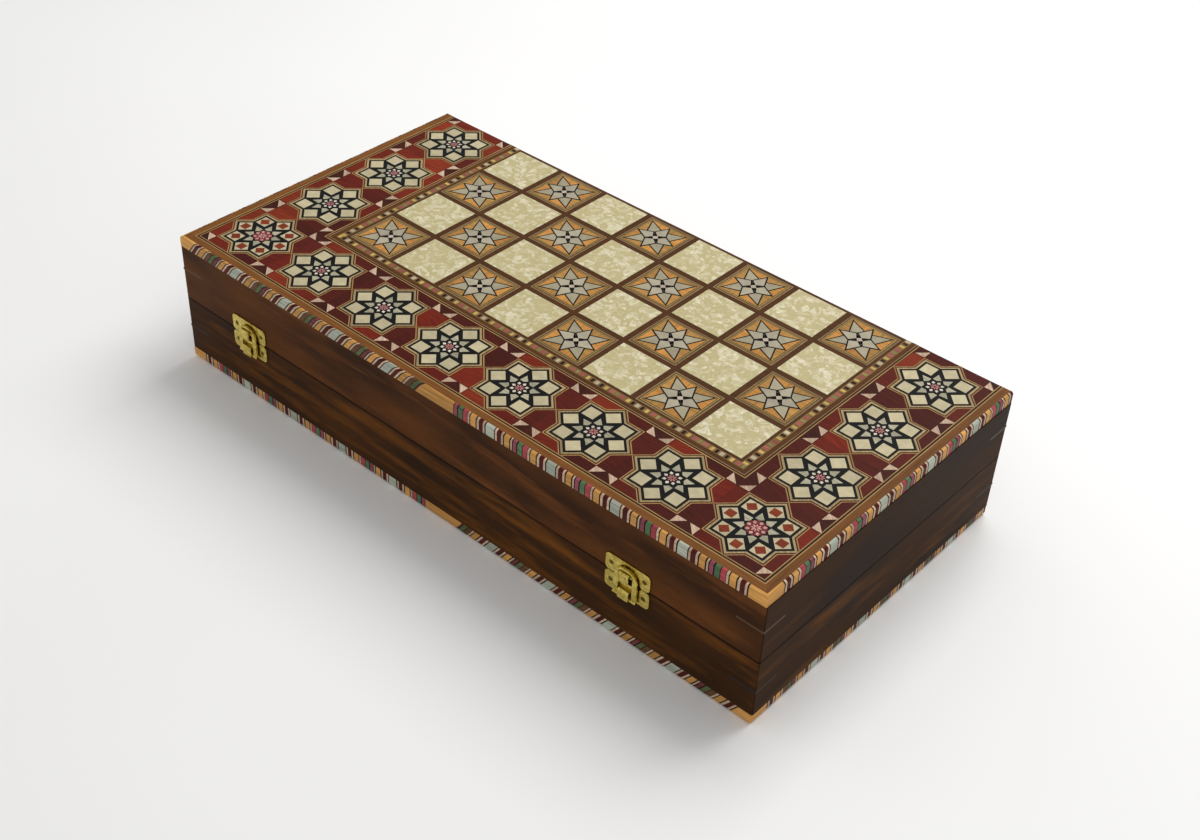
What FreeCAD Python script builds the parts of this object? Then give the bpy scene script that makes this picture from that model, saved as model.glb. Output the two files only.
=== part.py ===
import FreeCAD, Part
import os
import re
import Sketcher

# A folding backgammon case whose two outer faces join into a chess board.
# Frame: +X along the case, +Y towards the hinges, +Z up; the origin is the centre of the underside.
# The lower half is drawn where it stands. The upper half's woodwork is drawn the same way and then
# turned half a turn about the Y direction through the middle of the case, which lays it on top.

DIMENSIONS = [
    ("case_length", 500.0, "outside length of the closed case"),
    ("case_width", 250.0, "outside width of the closed case, and the depth of each half"),
    ("half_height", 50.0, "height of one half, from its chess face to its rim"),
    ("wall_thickness", 12.0, "solid frame wall"),
    ("veneer_thickness", 1.0, "chess marquetry sheet on the outside"),
    ("board_thickness", 5.0, "plywood board under the marquetry"),
    ("field_thickness", 1.0, "point marquetry sheet on the inside"),
    ("banding_width", 2.4, "edge banding, seen on the chess face"),
    ("banding_height", 8.0, "edge banding, seen on the wall"),
    ("banding_round", 2.0, "rounding of the banding's outer edge"),
    ("wood_ease", 0.4, "rounding of the walls' outer corners and rim"),
    ("key_reach", 19.0, "how far a corner key shows along each wall"),
    ("key_thickness", 1.5, "thickness of a corner key"),
    ("key_drop", 23.5, "from the rim down to the middle of a corner key"),
    ("hinge_spread", 150.0, "from the middle of the case to the middle of a hinge"),
    ("hinge_length", 60.0, "length of the hinge barrel"),
    ("hinge_offset", 0.25, "how far the hinge axis stands behind the back wall"),
    ("barrel_radius", 2.5, "outside of the knuckles"),
    ("pin_radius", 1.2, "hinge pin"),
    ("pin_clearance", 0.05, "radial running clearance of a pin"),
    ("pin_head_radius", 2.0, "peened end of the hinge pin"),
    ("pin_head_length", 0.6, "length of a peened end"),
    ("knuckle_gap", 0.3, "gap between two knuckles and beside a peened end"),
    ("leaf_margin", 1.75, "wood left between a leaf and the tray"),
    ("leaf_thickness", 1.2, "brass sheet of the hinge"),
    ("leaf_relief", 0.4, "gap from a leaf to the other leaf's knuckles"),
    ("recess_clearance", 0.1, "gap around a let-in leaf"),
    ("barrel_clearance", 0.5, "gap from the barrel to the wood"),
    ("hinge_screw_step", 20.0, "spacing of the three screws of a leaf"),
    ("hinge_head_radius", 2.2, "countersunk head of a hinge screw"),
    ("hinge_shank_radius", 1.1, "shank of a hinge screw"),
    ("hinge_screw_length", 12.0, "length of a hinge screw"),
    ("screw_clearance", 0.05, "radial clearance of a screw in its hole"),
    ("screw_slot", 0.5, "width and depth of a screwdriver slot"),
    ("catch_left", -181.4, "middle of the left catch"),
    ("catch_right", 155.4, "middle of the right catch"),
    ("plate_width", 33.5, "catch plate along the case"),
    ("plate_height", 12.4, "catch plate up the wall"),
    ("plate_thickness", 1.0, "catch plate sheet"),
    ("plate_round", 3.0, "corner rounding of a catch plate"),
    ("plate_gap", 0.3, "from the parting plane to a catch plate"),
    ("plate_notch_width", 22.0, "relief behind the lever"),
    ("plate_notch_depth", 2.0, "depth of that relief"),
    ("catch_screw_spread", 12.4, "from the middle of a plate to a screw"),
    ("catch_head_radius", 1.7, "countersunk head of a catch screw"),
    ("catch_shank_radius", 0.9, "shank of a catch screw"),
    ("catch_screw_length", 8.0, "length of a catch screw"),
    ("lever_gap", 0.6, "from the catch plate to the lever's hinge bar"),
    ("lever_drop", 11.8, "from the parting plane down to the lever's hinge bar"),
    ("lever_bar_radius", 1.0, "the lever's hinge bar"),
    ("lever_thickness", 1.2, "lever sheet"),
    ("lever_radius", 8.75, "half of the lever's width and the radius of its arch"),
    ("lever_window", 5.2, "half of the lever's window width"),
    ("lever_crossbar_top", 0.0, "top of the crossbar above the parting plane"),
    ("lever_crossbar", 2.2, "height of the crossbar"),
    ("lever_arch_bar", 2.2, "height of the arch above its window"),
    ("lever_rise", 10.1, "from the parting plane to the top of the arch"),
    ("lever_window_round", 2.5, "corner rounding at the top of the upper window"),
    ("tongue_half", 4.0, "half of the width of the curl that holds the lever"),
    ("tongue_sheet", 0.8, "sheet of the curl and the hook"),
    ("tongue_rise", 6.1, "from the lever's hinge bar to the top of the curl"),
    ("hook_half", 3.6, "half of the hook's width"),
    ("hook_depth", 3.9, "from the keeper plate to the front of the hook"),
    ("hook_play", 0.5, "gap from the hook to the lever's window"),
    ("checker_radius", 17.0, "playing piece"),
    ("checker_thickness", 9.0, "playing piece"),
    ("checker_rim", 5.5, "width of the raised rim"),
    ("checker_dish", 0.6, "depth of the dished middle"),
    ("checker_round", 1.1, "edge rounding of a playing piece"),
    ("checker_gap", 1.0, "gap between playing pieces on a point and to the wall"),
    ("die_size", 12.0, "edge of a die"),
    ("die_round", 1.3, "edge rounding of a die"),
    ("die_spread", 14.0, "from the middle of the tray to a die"),
    ("pip_radius", 1.1, "radius of a pip's ball cutter"),
    ("pip_pitch", 3.1, "from the middle of a face to its outer pips"),
    ("pip_depth", 0.55, "depth of a pip"),
]

POINTS_PER_END = 6
CHECKERS_PER_POINT = 5
HINGE_SIDES = {"left": "-", "right": ""}
CATCH_PLACES = {"left": "catch_left", "right": "catch_right"}

doc = FreeCAD.newDocument("backgammon_case")
sizes = doc.addObject("Spreadsheet::Sheet", "sizes")
for row, (alias, number, note) in enumerate(DIMENSIONS, start=1):
    sizes.set(f"A{row}", alias)
    sizes.set(f"B{row}", str(number))
    sizes.set(f"C{row}", note)
    sizes.setAlias(f"B{row}", alias)
doc.recompute()

sub_parts = []


def bound(expression):
    """Put the sheet's name in front of every size that an expression mentions."""
    return re.sub(r"[a-z_]+", lambda word: "sizes." + word.group(), expression)


def value(expression):
    """The number that an expression over the sheet gives now."""
    return float(sizes.evalExpression(expression))


def keep(feature, label):
    """Name a finished piece and put it on the list of pieces to write."""
    feature.Label = label
    sub_parts.append(feature)
    return feature


# Places that several pieces share
BOARD_TOP = "(veneer_thickness + board_thickness)"
INNER_LENGTH = "(case_length / 2 - wall_thickness)"
INNER_WIDTH = "(case_width / 2 - wall_thickness)"
AXIS_Y = "(case_width / 2 + hinge_offset)"
KEY_BOTTOM = "(half_height - key_drop - key_thickness / 2)"
FLOOR_TOP = f"({BOARD_TOP} + field_thickness)"
LEAF_FAR_Y = f"({INNER_WIDTH} + leaf_margin)"
LEAF_NEAR_Y = f"({AXIS_Y} - barrel_radius - leaf_relief)"
HINGE_SCREW_Y = f"(({LEAF_FAR_Y} + {LEAF_NEAR_Y}) / 2)"
PLATE_FACE = "(case_width / 2 + plate_thickness)"
LEVER_Y = f"({PLATE_FACE} + lever_gap + lever_bar_radius)"
LEVER_Z = "(half_height - lever_drop)"


# Helpers for sketched bodies

def new_body(name):
    return doc.addObject("PartDesign::Body", name)


def new_sketch(body, name, plane, level="0"):
    """A sketch on one of the body's own origin planes, lifted along that plane's normal."""
    support = [item for item in body.Origin.OriginFeatures if item.Role == plane][0]
    sketch = body.newObject("Sketcher::SketchObject", name)
    sketch.AttachmentSupport = (support, [""])
    sketch.MapMode = "FlatFace"
    sketch.setExpression("AttachmentOffset.Base.z", bound(level))
    return sketch


def bind_point(sketch, geometry, vertex, place):
    """Hold one point of the sketch at a place given by two expressions."""
    for kind, expression in zip(("DistanceX", "DistanceY"), place):
        rule = Sketcher.Constraint(kind, -1, 1, geometry, vertex, value(expression))
        number = sketch.addConstraint(rule)
        sketch.setExpression(f"Constraints[{number}]", bound(expression))


def add_polygon(sketch, corners):
    """A closed outline with every corner bound to the sheet."""
    first = sketch.GeometryCount
    points = [FreeCAD.Vector(value(across), value(along), 0) for across, along in corners]
    for start, end in zip(points, points[1:] + points[:1]):
        sketch.addGeometry(Part.LineSegment(start, end), False)
    for index, corner in enumerate(corners):
        following = first + (index + 1) % len(corners)
        sketch.addConstraint(Sketcher.Constraint("Coincident", first + index, 2, following, 1))
        bind_point(sketch, first + index, 1, corner)


def add_rectangle(sketch, low, high):
    add_polygon(sketch, [low, (high[0], low[1]), high, (low[0], high[1])])


def add_circle(sketch, centre, radius):
    middle = FreeCAD.Vector(value(centre[0]), value(centre[1]), 0)
    circle = Part.Circle(middle, FreeCAD.Vector(0, 0, 1), value(radius))
    geometry = sketch.addGeometry(circle, False)
    bind_point(sketch, geometry, 3, centre)
    number = sketch.addConstraint(Sketcher.Constraint("Radius", geometry, value(radius)))
    sketch.setExpression(f"Constraints[{number}]", bound(radius))


def pad(body, sketch, length, name):
    """Add material along the sketch's normal."""
    feature = body.newObject("PartDesign::Pad", name)
    feature.Profile = sketch
    feature.setExpression("Length", bound(length))
    doc.recompute()
    return feature


def pocket(body, sketch, depth, name, along_normal=False):
    """Take material away, against the sketch's normal unless told otherwise."""
    before = body.Shape.Volume
    feature = body.newObject("PartDesign::Pocket", name)
    feature.Profile = sketch
    feature.Reversed = along_normal
    feature.setExpression("Length", bound(depth))
    doc.recompute()
    if feature.Shape.Volume >= before:
        raise ValueError(f"{name} cuts nothing from {body.Name}")
    return feature


def edges_where(feature, test):
    """Names of the feature's edges whose middle point and edge pass a test."""
    found = []
    for index, edge in enumerate(feature.Shape.Edges, start=1):
        middle = edge.valueAt((edge.FirstParameter + edge.LastParameter) / 2)
        if test(middle, edge):
            found.append(f"Edge{index}")
    if not found:
        raise ValueError(f"no edge to dress on {feature.Name}")
    return found


def dress(body, feature, kind, edges, size_name, size, name):
    """A fillet or a chamfer on named edges."""
    dressed = body.newObject(f"PartDesign::{kind}", name)
    dressed.Base = (feature, edges)
    dressed.setExpression(size_name, bound(size))
    doc.recompute()
    return dressed


def place(feature, x="0", y="0", z="0", rotation=None):
    """Bind a piece's place to the sheet, after any fixed turn."""
    if rotation:
        feature.Placement.Rotation = rotation
    feature.setExpression("Placement.Base.x", bound(x))
    feature.setExpression("Placement.Base.y", bound(y))
    feature.setExpression("Placement.Base.z", bound(z))
    return feature


def turn_over(feature):
    """Lay a piece that is drawn as part of the lower half onto the upper half."""
    half_turn = FreeCAD.Rotation(FreeCAD.Vector(0, 1, 0), 180)
    return place(feature, z="2 * half_height", rotation=half_turn)


def group(name, members):
    """Separate solids that share one node."""
    compound = doc.addObject("Part::Compound", name)
    compound.Links = members
    return keep(compound, name)


def finish(feature, half, label):
    """Keep a piece of woodwork, turned over if it belongs to the upper half."""
    if half == "upper":
        turn_over(feature)
    return keep(feature, label)


def same(first, second):
    return abs(first - second) < 1e-4


# The wooden case

def wall_outline(side, sign):
    """Plan of one mitred wall, outer edge first."""
    outer = ("case_length / 2", "case_width / 2")
    inner = (INNER_LENGTH, INNER_WIDTH)
    if side == "long":
        return [(f"-{outer[0]}", sign + outer[1]), (outer[0], sign + outer[1]),
                (inner[0], sign + inner[1]), (f"-{inner[0]}", sign + inner[1])]
    return [(sign + outer[0], f"-{outer[1]}"), (sign + outer[0], outer[1]),
            (sign + inner[0], inner[1]), (sign + inner[0], f"-{inner[1]}")]


def key_outline(sign_x, sign_y):
    """Plan of one triangular corner key."""
    x, y = "case_length / 2", "case_width / 2"
    return [(sign_x + x, sign_y + y),
            (f"{sign_x}({x} - key_reach)", sign_y + y),
            (sign_x + x, f"{sign_y}({y} - key_reach)")]


def cut_rabbet(body, side, sign):
    """Make room for the banding, which closes the front and the ends but not the hinge side."""
    sketch = new_sketch(body, "rabbet_plan", "XY_Plane", BOARD_TOP)
    if side == "short":
        add_rectangle(sketch, (f"{sign}case_length / 2", "-case_width / 2"),
                      (f"{sign}(case_length / 2 - banding_width)", "case_width / 2"))
    elif sign == "-":
        add_rectangle(sketch, ("-case_length / 2", "-case_width / 2"),
                      ("case_length / 2", "-(case_width / 2 - banding_width)"))
    else:
        for end in ("-", ""):
            add_rectangle(sketch, (f"{end}case_length / 2", INNER_WIDTH),
                          (f"{end}(case_length / 2 - banding_width)", "case_width / 2"))
    pocket(body, sketch, f"banding_height - {BOARD_TOP}", "rabbet", along_normal=True)


def cut_key_slots(body, corners):
    sketch = new_sketch(body, "key_slot_plan", "XY_Plane", KEY_BOTTOM)
    for sign_x, sign_y in corners:
        add_polygon(sketch, key_outline(sign_x, sign_y))
    pocket(body, sketch, "key_thickness", "key_slots", along_normal=True)


def cut_hinge_seats(body):
    """Let the leaves into the rim, clear the barrel and drill for the screws."""
    recess = new_sketch(body, "leaf_recess_plan", "XY_Plane", "half_height")
    notch = new_sketch(body, "barrel_notch_plan", "XY_Plane", "half_height")
    holes = new_sketch(body, "hinge_pilot_plan", "XY_Plane", "half_height")
    reach = "(hinge_length / 2 + recess_clearance)"
    ends = "(hinge_length / 2 + 3 * knuckle_gap + pin_head_length)"
    for sign in HINGE_SIDES.values():
        middle = f"{sign}hinge_spread"
        add_rectangle(recess, (f"{middle} - {reach}", f"{LEAF_FAR_Y} - recess_clearance"),
                      (f"{middle} + {reach}", "case_width / 2"))
        add_rectangle(notch, (f"{middle} - {ends}", f"{AXIS_Y} - barrel_radius - barrel_clearance"),
                      (f"{middle} + {ends}", "case_width / 2"))
        for step in (-1, 0, 1):
            add_circle(holes, (f"{middle} + {step} * hinge_screw_step", HINGE_SCREW_Y),
                       "hinge_shank_radius + screw_clearance")
    pocket(body, recess, "leaf_thickness", "leaf_recesses")
    pocket(body, notch, "barrel_radius + barrel_clearance", "barrel_notches")
    pocket(body, holes, "hinge_screw_length + recess_clearance", "hinge_pilots")


def cut_catch_pilots(body, half):
    """Pilot holes for the catch screws, straight in from the front."""
    sketch = new_sketch(body, "catch_pilot_face", "XZ_Plane", "case_width / 2")
    height = "half_height - plate_gap - plate_height / 2"
    flip = "-" if half == "upper" else ""
    for middle in CATCH_PLACES.values():
        for sign in ("-", "+"):
            add_circle(sketch, (f"{flip}{middle} {sign} catch_screw_spread", height),
                       "catch_shank_radius + screw_clearance")
    pocket(body, sketch, "catch_screw_length", "catch_pilots")


def is_eased(middle, edge):
    """The upright outer corners of a wall, and the two long edges of its rim."""
    upright = same(edge.Vertexes[0].X, edge.Vertexes[-1].X) and same(edge.Vertexes[0].Y,
                                                                     edge.Vertexes[-1].Y)
    if upright:
        return same(abs(middle.x), value("case_length / 2"))
    return same(middle.z, value("half_height")) and edge.Length > value("2 * wall_thickness")


def wall(half, name, side, sign):
    """One mitred frame wall with its rabbet, key slots and seats for the brass."""
    body = new_body(f"{half}_{name}_wall")
    plan = new_sketch(body, "wall_plan", "XY_Plane", BOARD_TOP)
    add_polygon(plan, wall_outline(side, sign))
    block = pad(body, plan, f"half_height - {BOARD_TOP}", "wall_block")
    dress(body, block, "Fillet", edges_where(block, is_eased), "Radius", "wood_ease", "eased")
    cut_rabbet(body, side, sign)
    if side == "long":
        corners = [("-", sign), ("", sign)]
    else:
        corners = [(sign, "-"), (sign, "")]
    cut_key_slots(body, corners)
    if name == "back":
        cut_hinge_seats(body)
    if name == "front":
        cut_catch_pilots(body, half)
    finish(body, half, f"{half}_{name}_wall")


def sheet_piece(half, label, low, high, bottom, thickness):
    """A flat board or veneer sheet."""
    body = new_body(f"{half}_{label}")
    plan = new_sketch(body, "sheet_plan", "XY_Plane", bottom)
    add_rectangle(plan, low, high)
    pad(body, plan, thickness, "sheet")
    finish(body, half, f"{half}_{label}")


def banding_strip(half, name, corners):
    """One strip of edge banding with its outer edge rounded."""
    body = new_body(f"{half}_{name}_banding")
    plan = new_sketch(body, "strip_plan", "XY_Plane")
    add_polygon(plan, corners)
    block = pad(body, plan, "banding_height", "strip")
    x, y = value("case_length / 2"), value("case_width / 2")

    def outer_edge(middle, edge):
        outside = same(abs(middle.x), x) or same(middle.y, -y)
        return outside and same(middle.z, 0) and edge.Length > value("banding_width") * 2

    dress(body, block, "Fillet", edges_where(block, outer_edge), "Radius", "banding_round",
          "outer_round")
    return turn_over(body) if half == "upper" else body


def banding(half):
    """Front strip and two end strips, mitred together at the front corners."""
    x, y = "case_length / 2", "case_width / 2"
    inner_x, inner_y = f"({x} - banding_width)", f"-({y} - banding_width)"
    strips = [banding_strip(half, "front", [(f"-{x}", f"-{y}"), (x, f"-{y}"),
                                            (inner_x, inner_y), (f"-{inner_x}", inner_y)])]
    for name, sign in (("left", "-"), ("right", "")):
        strips.append(banding_strip(half, name, [(sign + x, f"-{y}"), (sign + x, y),
                                                 (sign + inner_x, y), (sign + inner_x, inner_y)]))
    group(f"{half}_edge_banding", strips)


def corner_keys(half):
    """Four thin keys let into the corners across the mitres."""
    keys = []
    for sign_x in ("-", ""):
        for sign_y in ("-", ""):
            body = new_body(f"{half}_corner_key")
            plan = new_sketch(body, "key_plan", "XY_Plane", KEY_BOTTOM)
            add_polygon(plan, key_outline(sign_x, sign_y))
            pad(body, plan, "key_thickness", "key")
            keys.append(turn_over(body) if half == "upper" else body)
    group(f"{half}_corner_keys", keys)


def woodwork(half):
    ends = {"left": "-", "right": ""}
    if half == "upper":
        ends = {"left": "", "right": "-"}
    wall(half, "front", "long", "-")
    wall(half, "back", "long", "")
    for name, sign in ends.items():
        wall(half, name, "short", sign)
    low = ("-(case_length / 2 - banding_width)", "-(case_width / 2 - banding_width)")
    high = ("case_length / 2 - banding_width", "case_width / 2")
    sheet_piece(half, "chess_veneer", low, high, "0", "veneer_thickness")
    sheet_piece(half, "base_board", low, high, "veneer_thickness", "board_thickness")
    sheet_piece(half, "point_field", (f"-{INNER_LENGTH}", f"-{INNER_WIDTH}"),
                (INNER_LENGTH, INNER_WIDTH), BOARD_TOP, "field_thickness")
    banding(half)
    corner_keys(half)


# Brass hinges

def hinge_leaf(half, side, knuckles):
    """A leaf let into the rim, with its share of the five knuckles."""
    body = new_body(f"{half}_{side}_leaf")
    top = "half_height"
    step = "hinge_length / 5"
    plate = new_sketch(body, "leaf_plan", "XY_Plane", "half_height - leaf_thickness")
    add_rectangle(plate, ("-hinge_length / 2", LEAF_FAR_Y), ("hinge_length / 2", LEAF_NEAR_Y))
    pad(body, plate, "leaf_thickness", "leaf")
    for index in knuckles:
        left = f"({index} * {step} - {step} / 2 + knuckle_gap / 2)"
        right = f"({index} * {step} + {step} / 2 - knuckle_gap / 2)"
        tab = new_sketch(body, f"tab_plan_{index + 2}", "XY_Plane", "half_height - leaf_thickness")
        add_rectangle(tab, (left, f"{LEAF_NEAR_Y} - leaf_relief"), (right, AXIS_Y))
        pad(body, tab, "leaf_thickness", f"tab_{index + 2}")
        barrel = new_sketch(body, f"knuckle_face_{index + 2}", "YZ_Plane", left)
        add_circle(barrel, (AXIS_Y, top), "barrel_radius")
        pad(body, barrel, f"{step} - knuckle_gap", f"knuckle_{index + 2}")
    bore = new_sketch(body, "bore_face", "YZ_Plane", "hinge_length")
    add_circle(bore, (AXIS_Y, top), "pin_radius + pin_clearance")
    pocket(body, bore, "2 * hinge_length", "bore")
    holes = new_sketch(body, "leaf_hole_plan", "XY_Plane", top)
    for index in (-1, 0, 1):
        add_circle(holes, (f"{index} * hinge_screw_step", HINGE_SCREW_Y),
                   "hinge_shank_radius + screw_clearance")
    drilled = pocket(body, holes, "leaf_thickness", "leaf_holes")
    countersink(body, drilled, lambda middle: same(middle.z, value(top)),
                "hinge_head_radius - hinge_shank_radius")
    sign = HINGE_SIDES[side]
    if half == "upper":
        return place(body, x=f"{sign}hinge_spread", z="2 * half_height",
                     rotation=FreeCAD.Rotation(FreeCAD.Vector(0, 1, 0), 180))
    return place(body, x=f"{sign}hinge_spread")


def countersink(body, feature, on_face, size):
    """Chamfer every drilled edge on one face, to seat the screw heads."""

    def rim(middle, edge):
        return edge.Curve.TypeId == "Part::GeomCircle" and edge.isClosed() and on_face(middle)

    dress(body, feature, "Chamfer", edges_where(feature, rim), "Size", size, "countersinks")


def hinge_pin(side):
    """A pin through all five knuckles, peened over at both ends."""
    body = new_body(f"{side}_hinge_pin")
    half_pin = "(hinge_length / 2 + knuckle_gap)"
    shaft = new_sketch(body, "pin_face", "YZ_Plane", f"-{half_pin}")
    add_circle(shaft, (AXIS_Y, "half_height"), "pin_radius")
    pad(body, shaft, f"2 * {half_pin}", "pin")
    for name, level in (("near_end", f"-{half_pin} - pin_head_length"), ("far_end", half_pin)):
        head = new_sketch(body, f"{name}_face", "YZ_Plane", level)
        add_circle(head, (AXIS_Y, "half_height"), "pin_head_radius")
        pad(body, head, "pin_head_length", name)
    return place(body, x=f"{HINGE_SIDES[side]}hinge_spread")


# Brass catches

def catch_plate(half, side):
    """The flat part that both catch plates share: rounded, relieved, slotted and drilled."""
    body = new_body(f"{half}_{side}_catch_plate")
    sign = "-" if half == "lower" else "+"

    def level(distance):
        return f"half_height {sign} ({distance})"

    face = new_sketch(body, "plate_face", "XZ_Plane", "case_width / 2")
    add_rectangle(face, ("-plate_width / 2", level("plate_gap")),
                  ("plate_width / 2", level("plate_gap + plate_height")))
    block = pad(body, face, "plate_thickness", "plate")
    corners = edges_where(block, lambda middle, edge: same(edge.Length, value("plate_thickness")))
    dress(body, block, "Fillet", corners, "Radius", "plate_round", "plate_corners")
    relief = new_sketch(body, "relief_face", "XZ_Plane", PLATE_FACE)
    add_polygon(relief, [("-plate_notch_width / 2", level("0")), ("plate_notch_width / 2", level("0")),
                         ("plate_notch_width / 2 - plate_notch_depth",
                          level("plate_gap + plate_notch_depth")),
                         ("-(plate_notch_width / 2 - plate_notch_depth)",
                          level("plate_gap + plate_notch_depth"))])
    pocket(body, relief, "plate_thickness", "relief")
    holes = new_sketch(body, "plate_hole_face", "XZ_Plane", PLATE_FACE)
    for across in ("-catch_screw_spread", "catch_screw_spread"):
        add_circle(holes, (across, level("plate_gap + plate_height / 2")),
                   "catch_shank_radius + screw_clearance")
    drilled = pocket(body, holes, "plate_thickness", "plate_holes")
    countersink(body, drilled, lambda middle: same(middle.y, -value(PLATE_FACE)),
                "catch_head_radius - catch_shank_radius")
    return body


def curl(body):
    """The tongue bent out of the lower plate and down around the lever's hinge bar."""
    bore = "(lever_bar_radius + pin_clearance)"
    front = f"-({LEVER_Y} + {bore} + tongue_sheet)"
    bottom = f"{LEVER_Z} - {bore} - tongue_sheet"
    top = f"{LEVER_Z} + tongue_rise"
    side = new_sketch(body, "curl_side", "YZ_Plane", "-tongue_half")
    add_rectangle(side, (front, bottom), (f"-{PLATE_FACE}", top))
    block = pad(body, side, "2 * tongue_half", "curl_block")
    edges = edges_where(block, lambda middle, edge: same(middle.y, value(front))
                        and same(edge.Length, 2 * value("tongue_half")))
    rounded = dress(body, block, "Fillet", edges, "Radius", f"{bore} + tongue_sheet / 2",
                    "curl_round")
    edges = edges_where(rounded, lambda middle, edge: same(middle.z, value(bottom))
                        and same(middle.y, -value(PLATE_FACE)))
    dress(body, rounded, "Fillet", edges, "Radius", f"{bore} / 2", "curl_end")
    hollow = new_sketch(body, "curl_hollow", "YZ_Plane", "hinge_length")
    add_rectangle(hollow, (f"-({LEVER_Y} + {bore})", f"{LEVER_Z} + 2 * {bore}"),
                  (f"-{PLATE_FACE}", f"{top} - 2 * tongue_sheet"))
    pocket(body, hollow, "2 * hinge_length", "hollow")
    eye = new_sketch(body, "eye_side", "YZ_Plane", "hinge_length")
    add_circle(eye, (f"-{LEVER_Y}", LEVER_Z), bore)
    pocket(body, eye, "2 * hinge_length", "eye")


def hook(body):
    """The tongue bent out of the keeper plate, which the lever's arch drops over."""
    top = "half_height + lever_rise - lever_arch_bar - hook_play"
    bottom = "half_height + lever_crossbar_top + hook_play"
    front = f"-({PLATE_FACE} + hook_depth)"
    side = new_sketch(body, "hook_side", "YZ_Plane", "-hook_half")
    add_rectangle(side, (front, bottom), (f"-{PLATE_FACE}", top))
    block = pad(body, side, "2 * hook_half", "hook_block")
    edges = edges_where(block, lambda middle, edge: same(middle.y, value(front))
                        and same(edge.Length, 2 * value("hook_half")))
    dress(body, block, "Fillet", edges, "Radius", "hook_depth / 3", "hook_round")
    hollow = new_sketch(body, "hook_hollow", "YZ_Plane", "hinge_length")
    add_rectangle(hollow, (f"{front} + tongue_sheet", f"{bottom} - hook_play"),
                  (f"-{PLATE_FACE}", f"{top} - 2 * tongue_sheet"))
    pocket(body, hollow, "2 * hinge_length", "hollow")


def catch_lever(side):
    """An arched frame with two windows that turns on its own round bottom bar."""
    body = new_body(f"{side}_catch_lever")
    back = f"({LEVER_Y} - lever_thickness / 2)"
    arch_z = "(half_height + lever_rise - lever_radius)"
    legs = new_sketch(body, "leg_face", "XZ_Plane", back)
    add_rectangle(legs, ("-lever_radius", LEVER_Z), ("lever_radius", arch_z))
    pad(body, legs, "lever_thickness", "legs")
    arch = new_sketch(body, "arch_face", "XZ_Plane", back)
    add_circle(arch, ("0", arch_z), "lever_radius")
    pad(body, arch, "lever_thickness", "arch")
    windows = new_sketch(body, "window_face", "XZ_Plane", f"{LEVER_Y} + lever_thickness")
    add_rectangle(windows, ("-lever_window", LEVER_Z),
                  ("lever_window", "half_height + lever_crossbar_top - lever_crossbar"))
    add_rectangle(windows, ("-lever_window", "half_height + lever_crossbar_top"),
                  ("lever_window", "half_height + lever_rise - lever_arch_bar"))
    opened = pocket(body, windows, "2 * lever_thickness", "windows")
    window_top = value("half_height + lever_rise - lever_arch_bar")
    corners = edges_where(opened, lambda middle, edge: same(middle.z, window_top)
                          and same(edge.Length, value("lever_thickness")))
    arched = dress(body, opened, "Fillet", corners, "Radius", "lever_window_round", "window_round")
    front = -value(f"{LEVER_Y} + lever_thickness / 2")
    edges = edges_where(arched, lambda middle, edge: same(middle.y, front))
    dress(body, arched, "Fillet", edges, "Radius", "lever_thickness / 4", "lever_round")
    bar = new_sketch(body, "bar_side", "YZ_Plane", "-lever_radius")
    add_circle(bar, (f"-{LEVER_Y}", LEVER_Z), "lever_bar_radius")
    pad(body, bar, "2 * lever_radius", "bar")
    return keep(place(body, x=CATCH_PLACES[side]), f"{side}_catch_lever")


# Screws

def screw(name, prefix):
    """A slotted countersunk wood screw along -Z, with its head's face at the origin."""
    body = new_body(name)
    head = f"{prefix}_head_radius"
    shank = f"{prefix}_shank_radius"
    length = f"{prefix}_screw_length"
    profile = new_sketch(body, "screw_profile", "XZ_Plane")
    add_polygon(profile, [("0", "0"), (head, "0"), (shank, f"-({head} - {shank})"),
                          (shank, f"-({length} - 2 * {shank})"), ("0", f"-{length}")])
    turned = body.newObject("PartDesign::Revolution", "screw_turned")
    turned.Profile = profile
    turned.ReferenceAxis = (profile, ["V_Axis"])
    turned.Angle = 360
    doc.recompute()
    slot = new_sketch(body, "slot_plan", "XY_Plane")
    add_rectangle(slot, (f"-{head}", "-screw_slot / 2"), (head, "screw_slot / 2"))
    pocket(body, slot, "screw_slot", "slot")
    return body


def screws(half):
    """The hinge screws and the catch screws of one half."""
    members = []
    sign = "-" if half == "lower" else "+"
    for side, hinge_sign in HINGE_SIDES.items():
        for step in (-1, 0, 1):
            body = screw(f"{half}_{side}_hinge_screw", "hinge")
            turn = FreeCAD.Rotation(FreeCAD.Vector(1, 0, 0), 0 if half == "lower" else 180)
            place(body, x=f"{hinge_sign}hinge_spread + {step} * hinge_screw_step",
                  y=HINGE_SCREW_Y, z="half_height", rotation=turn)
            members.append(body)
    for side, middle in CATCH_PLACES.items():
        for end in ("-", "+"):
            body = screw(f"{half}_{side}_catch_screw", "catch")
            turn = FreeCAD.Rotation(FreeCAD.Vector(1, 0, 0), 90)
            place(body, x=f"{middle} {end} catch_screw_spread", y=f"-{PLATE_FACE}",
                  z=f"half_height {sign} (plate_gap + plate_height / 2)", rotation=turn)
            members.append(body)
    group(f"{half}_screws", members)


# Playing pieces and dice

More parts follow.
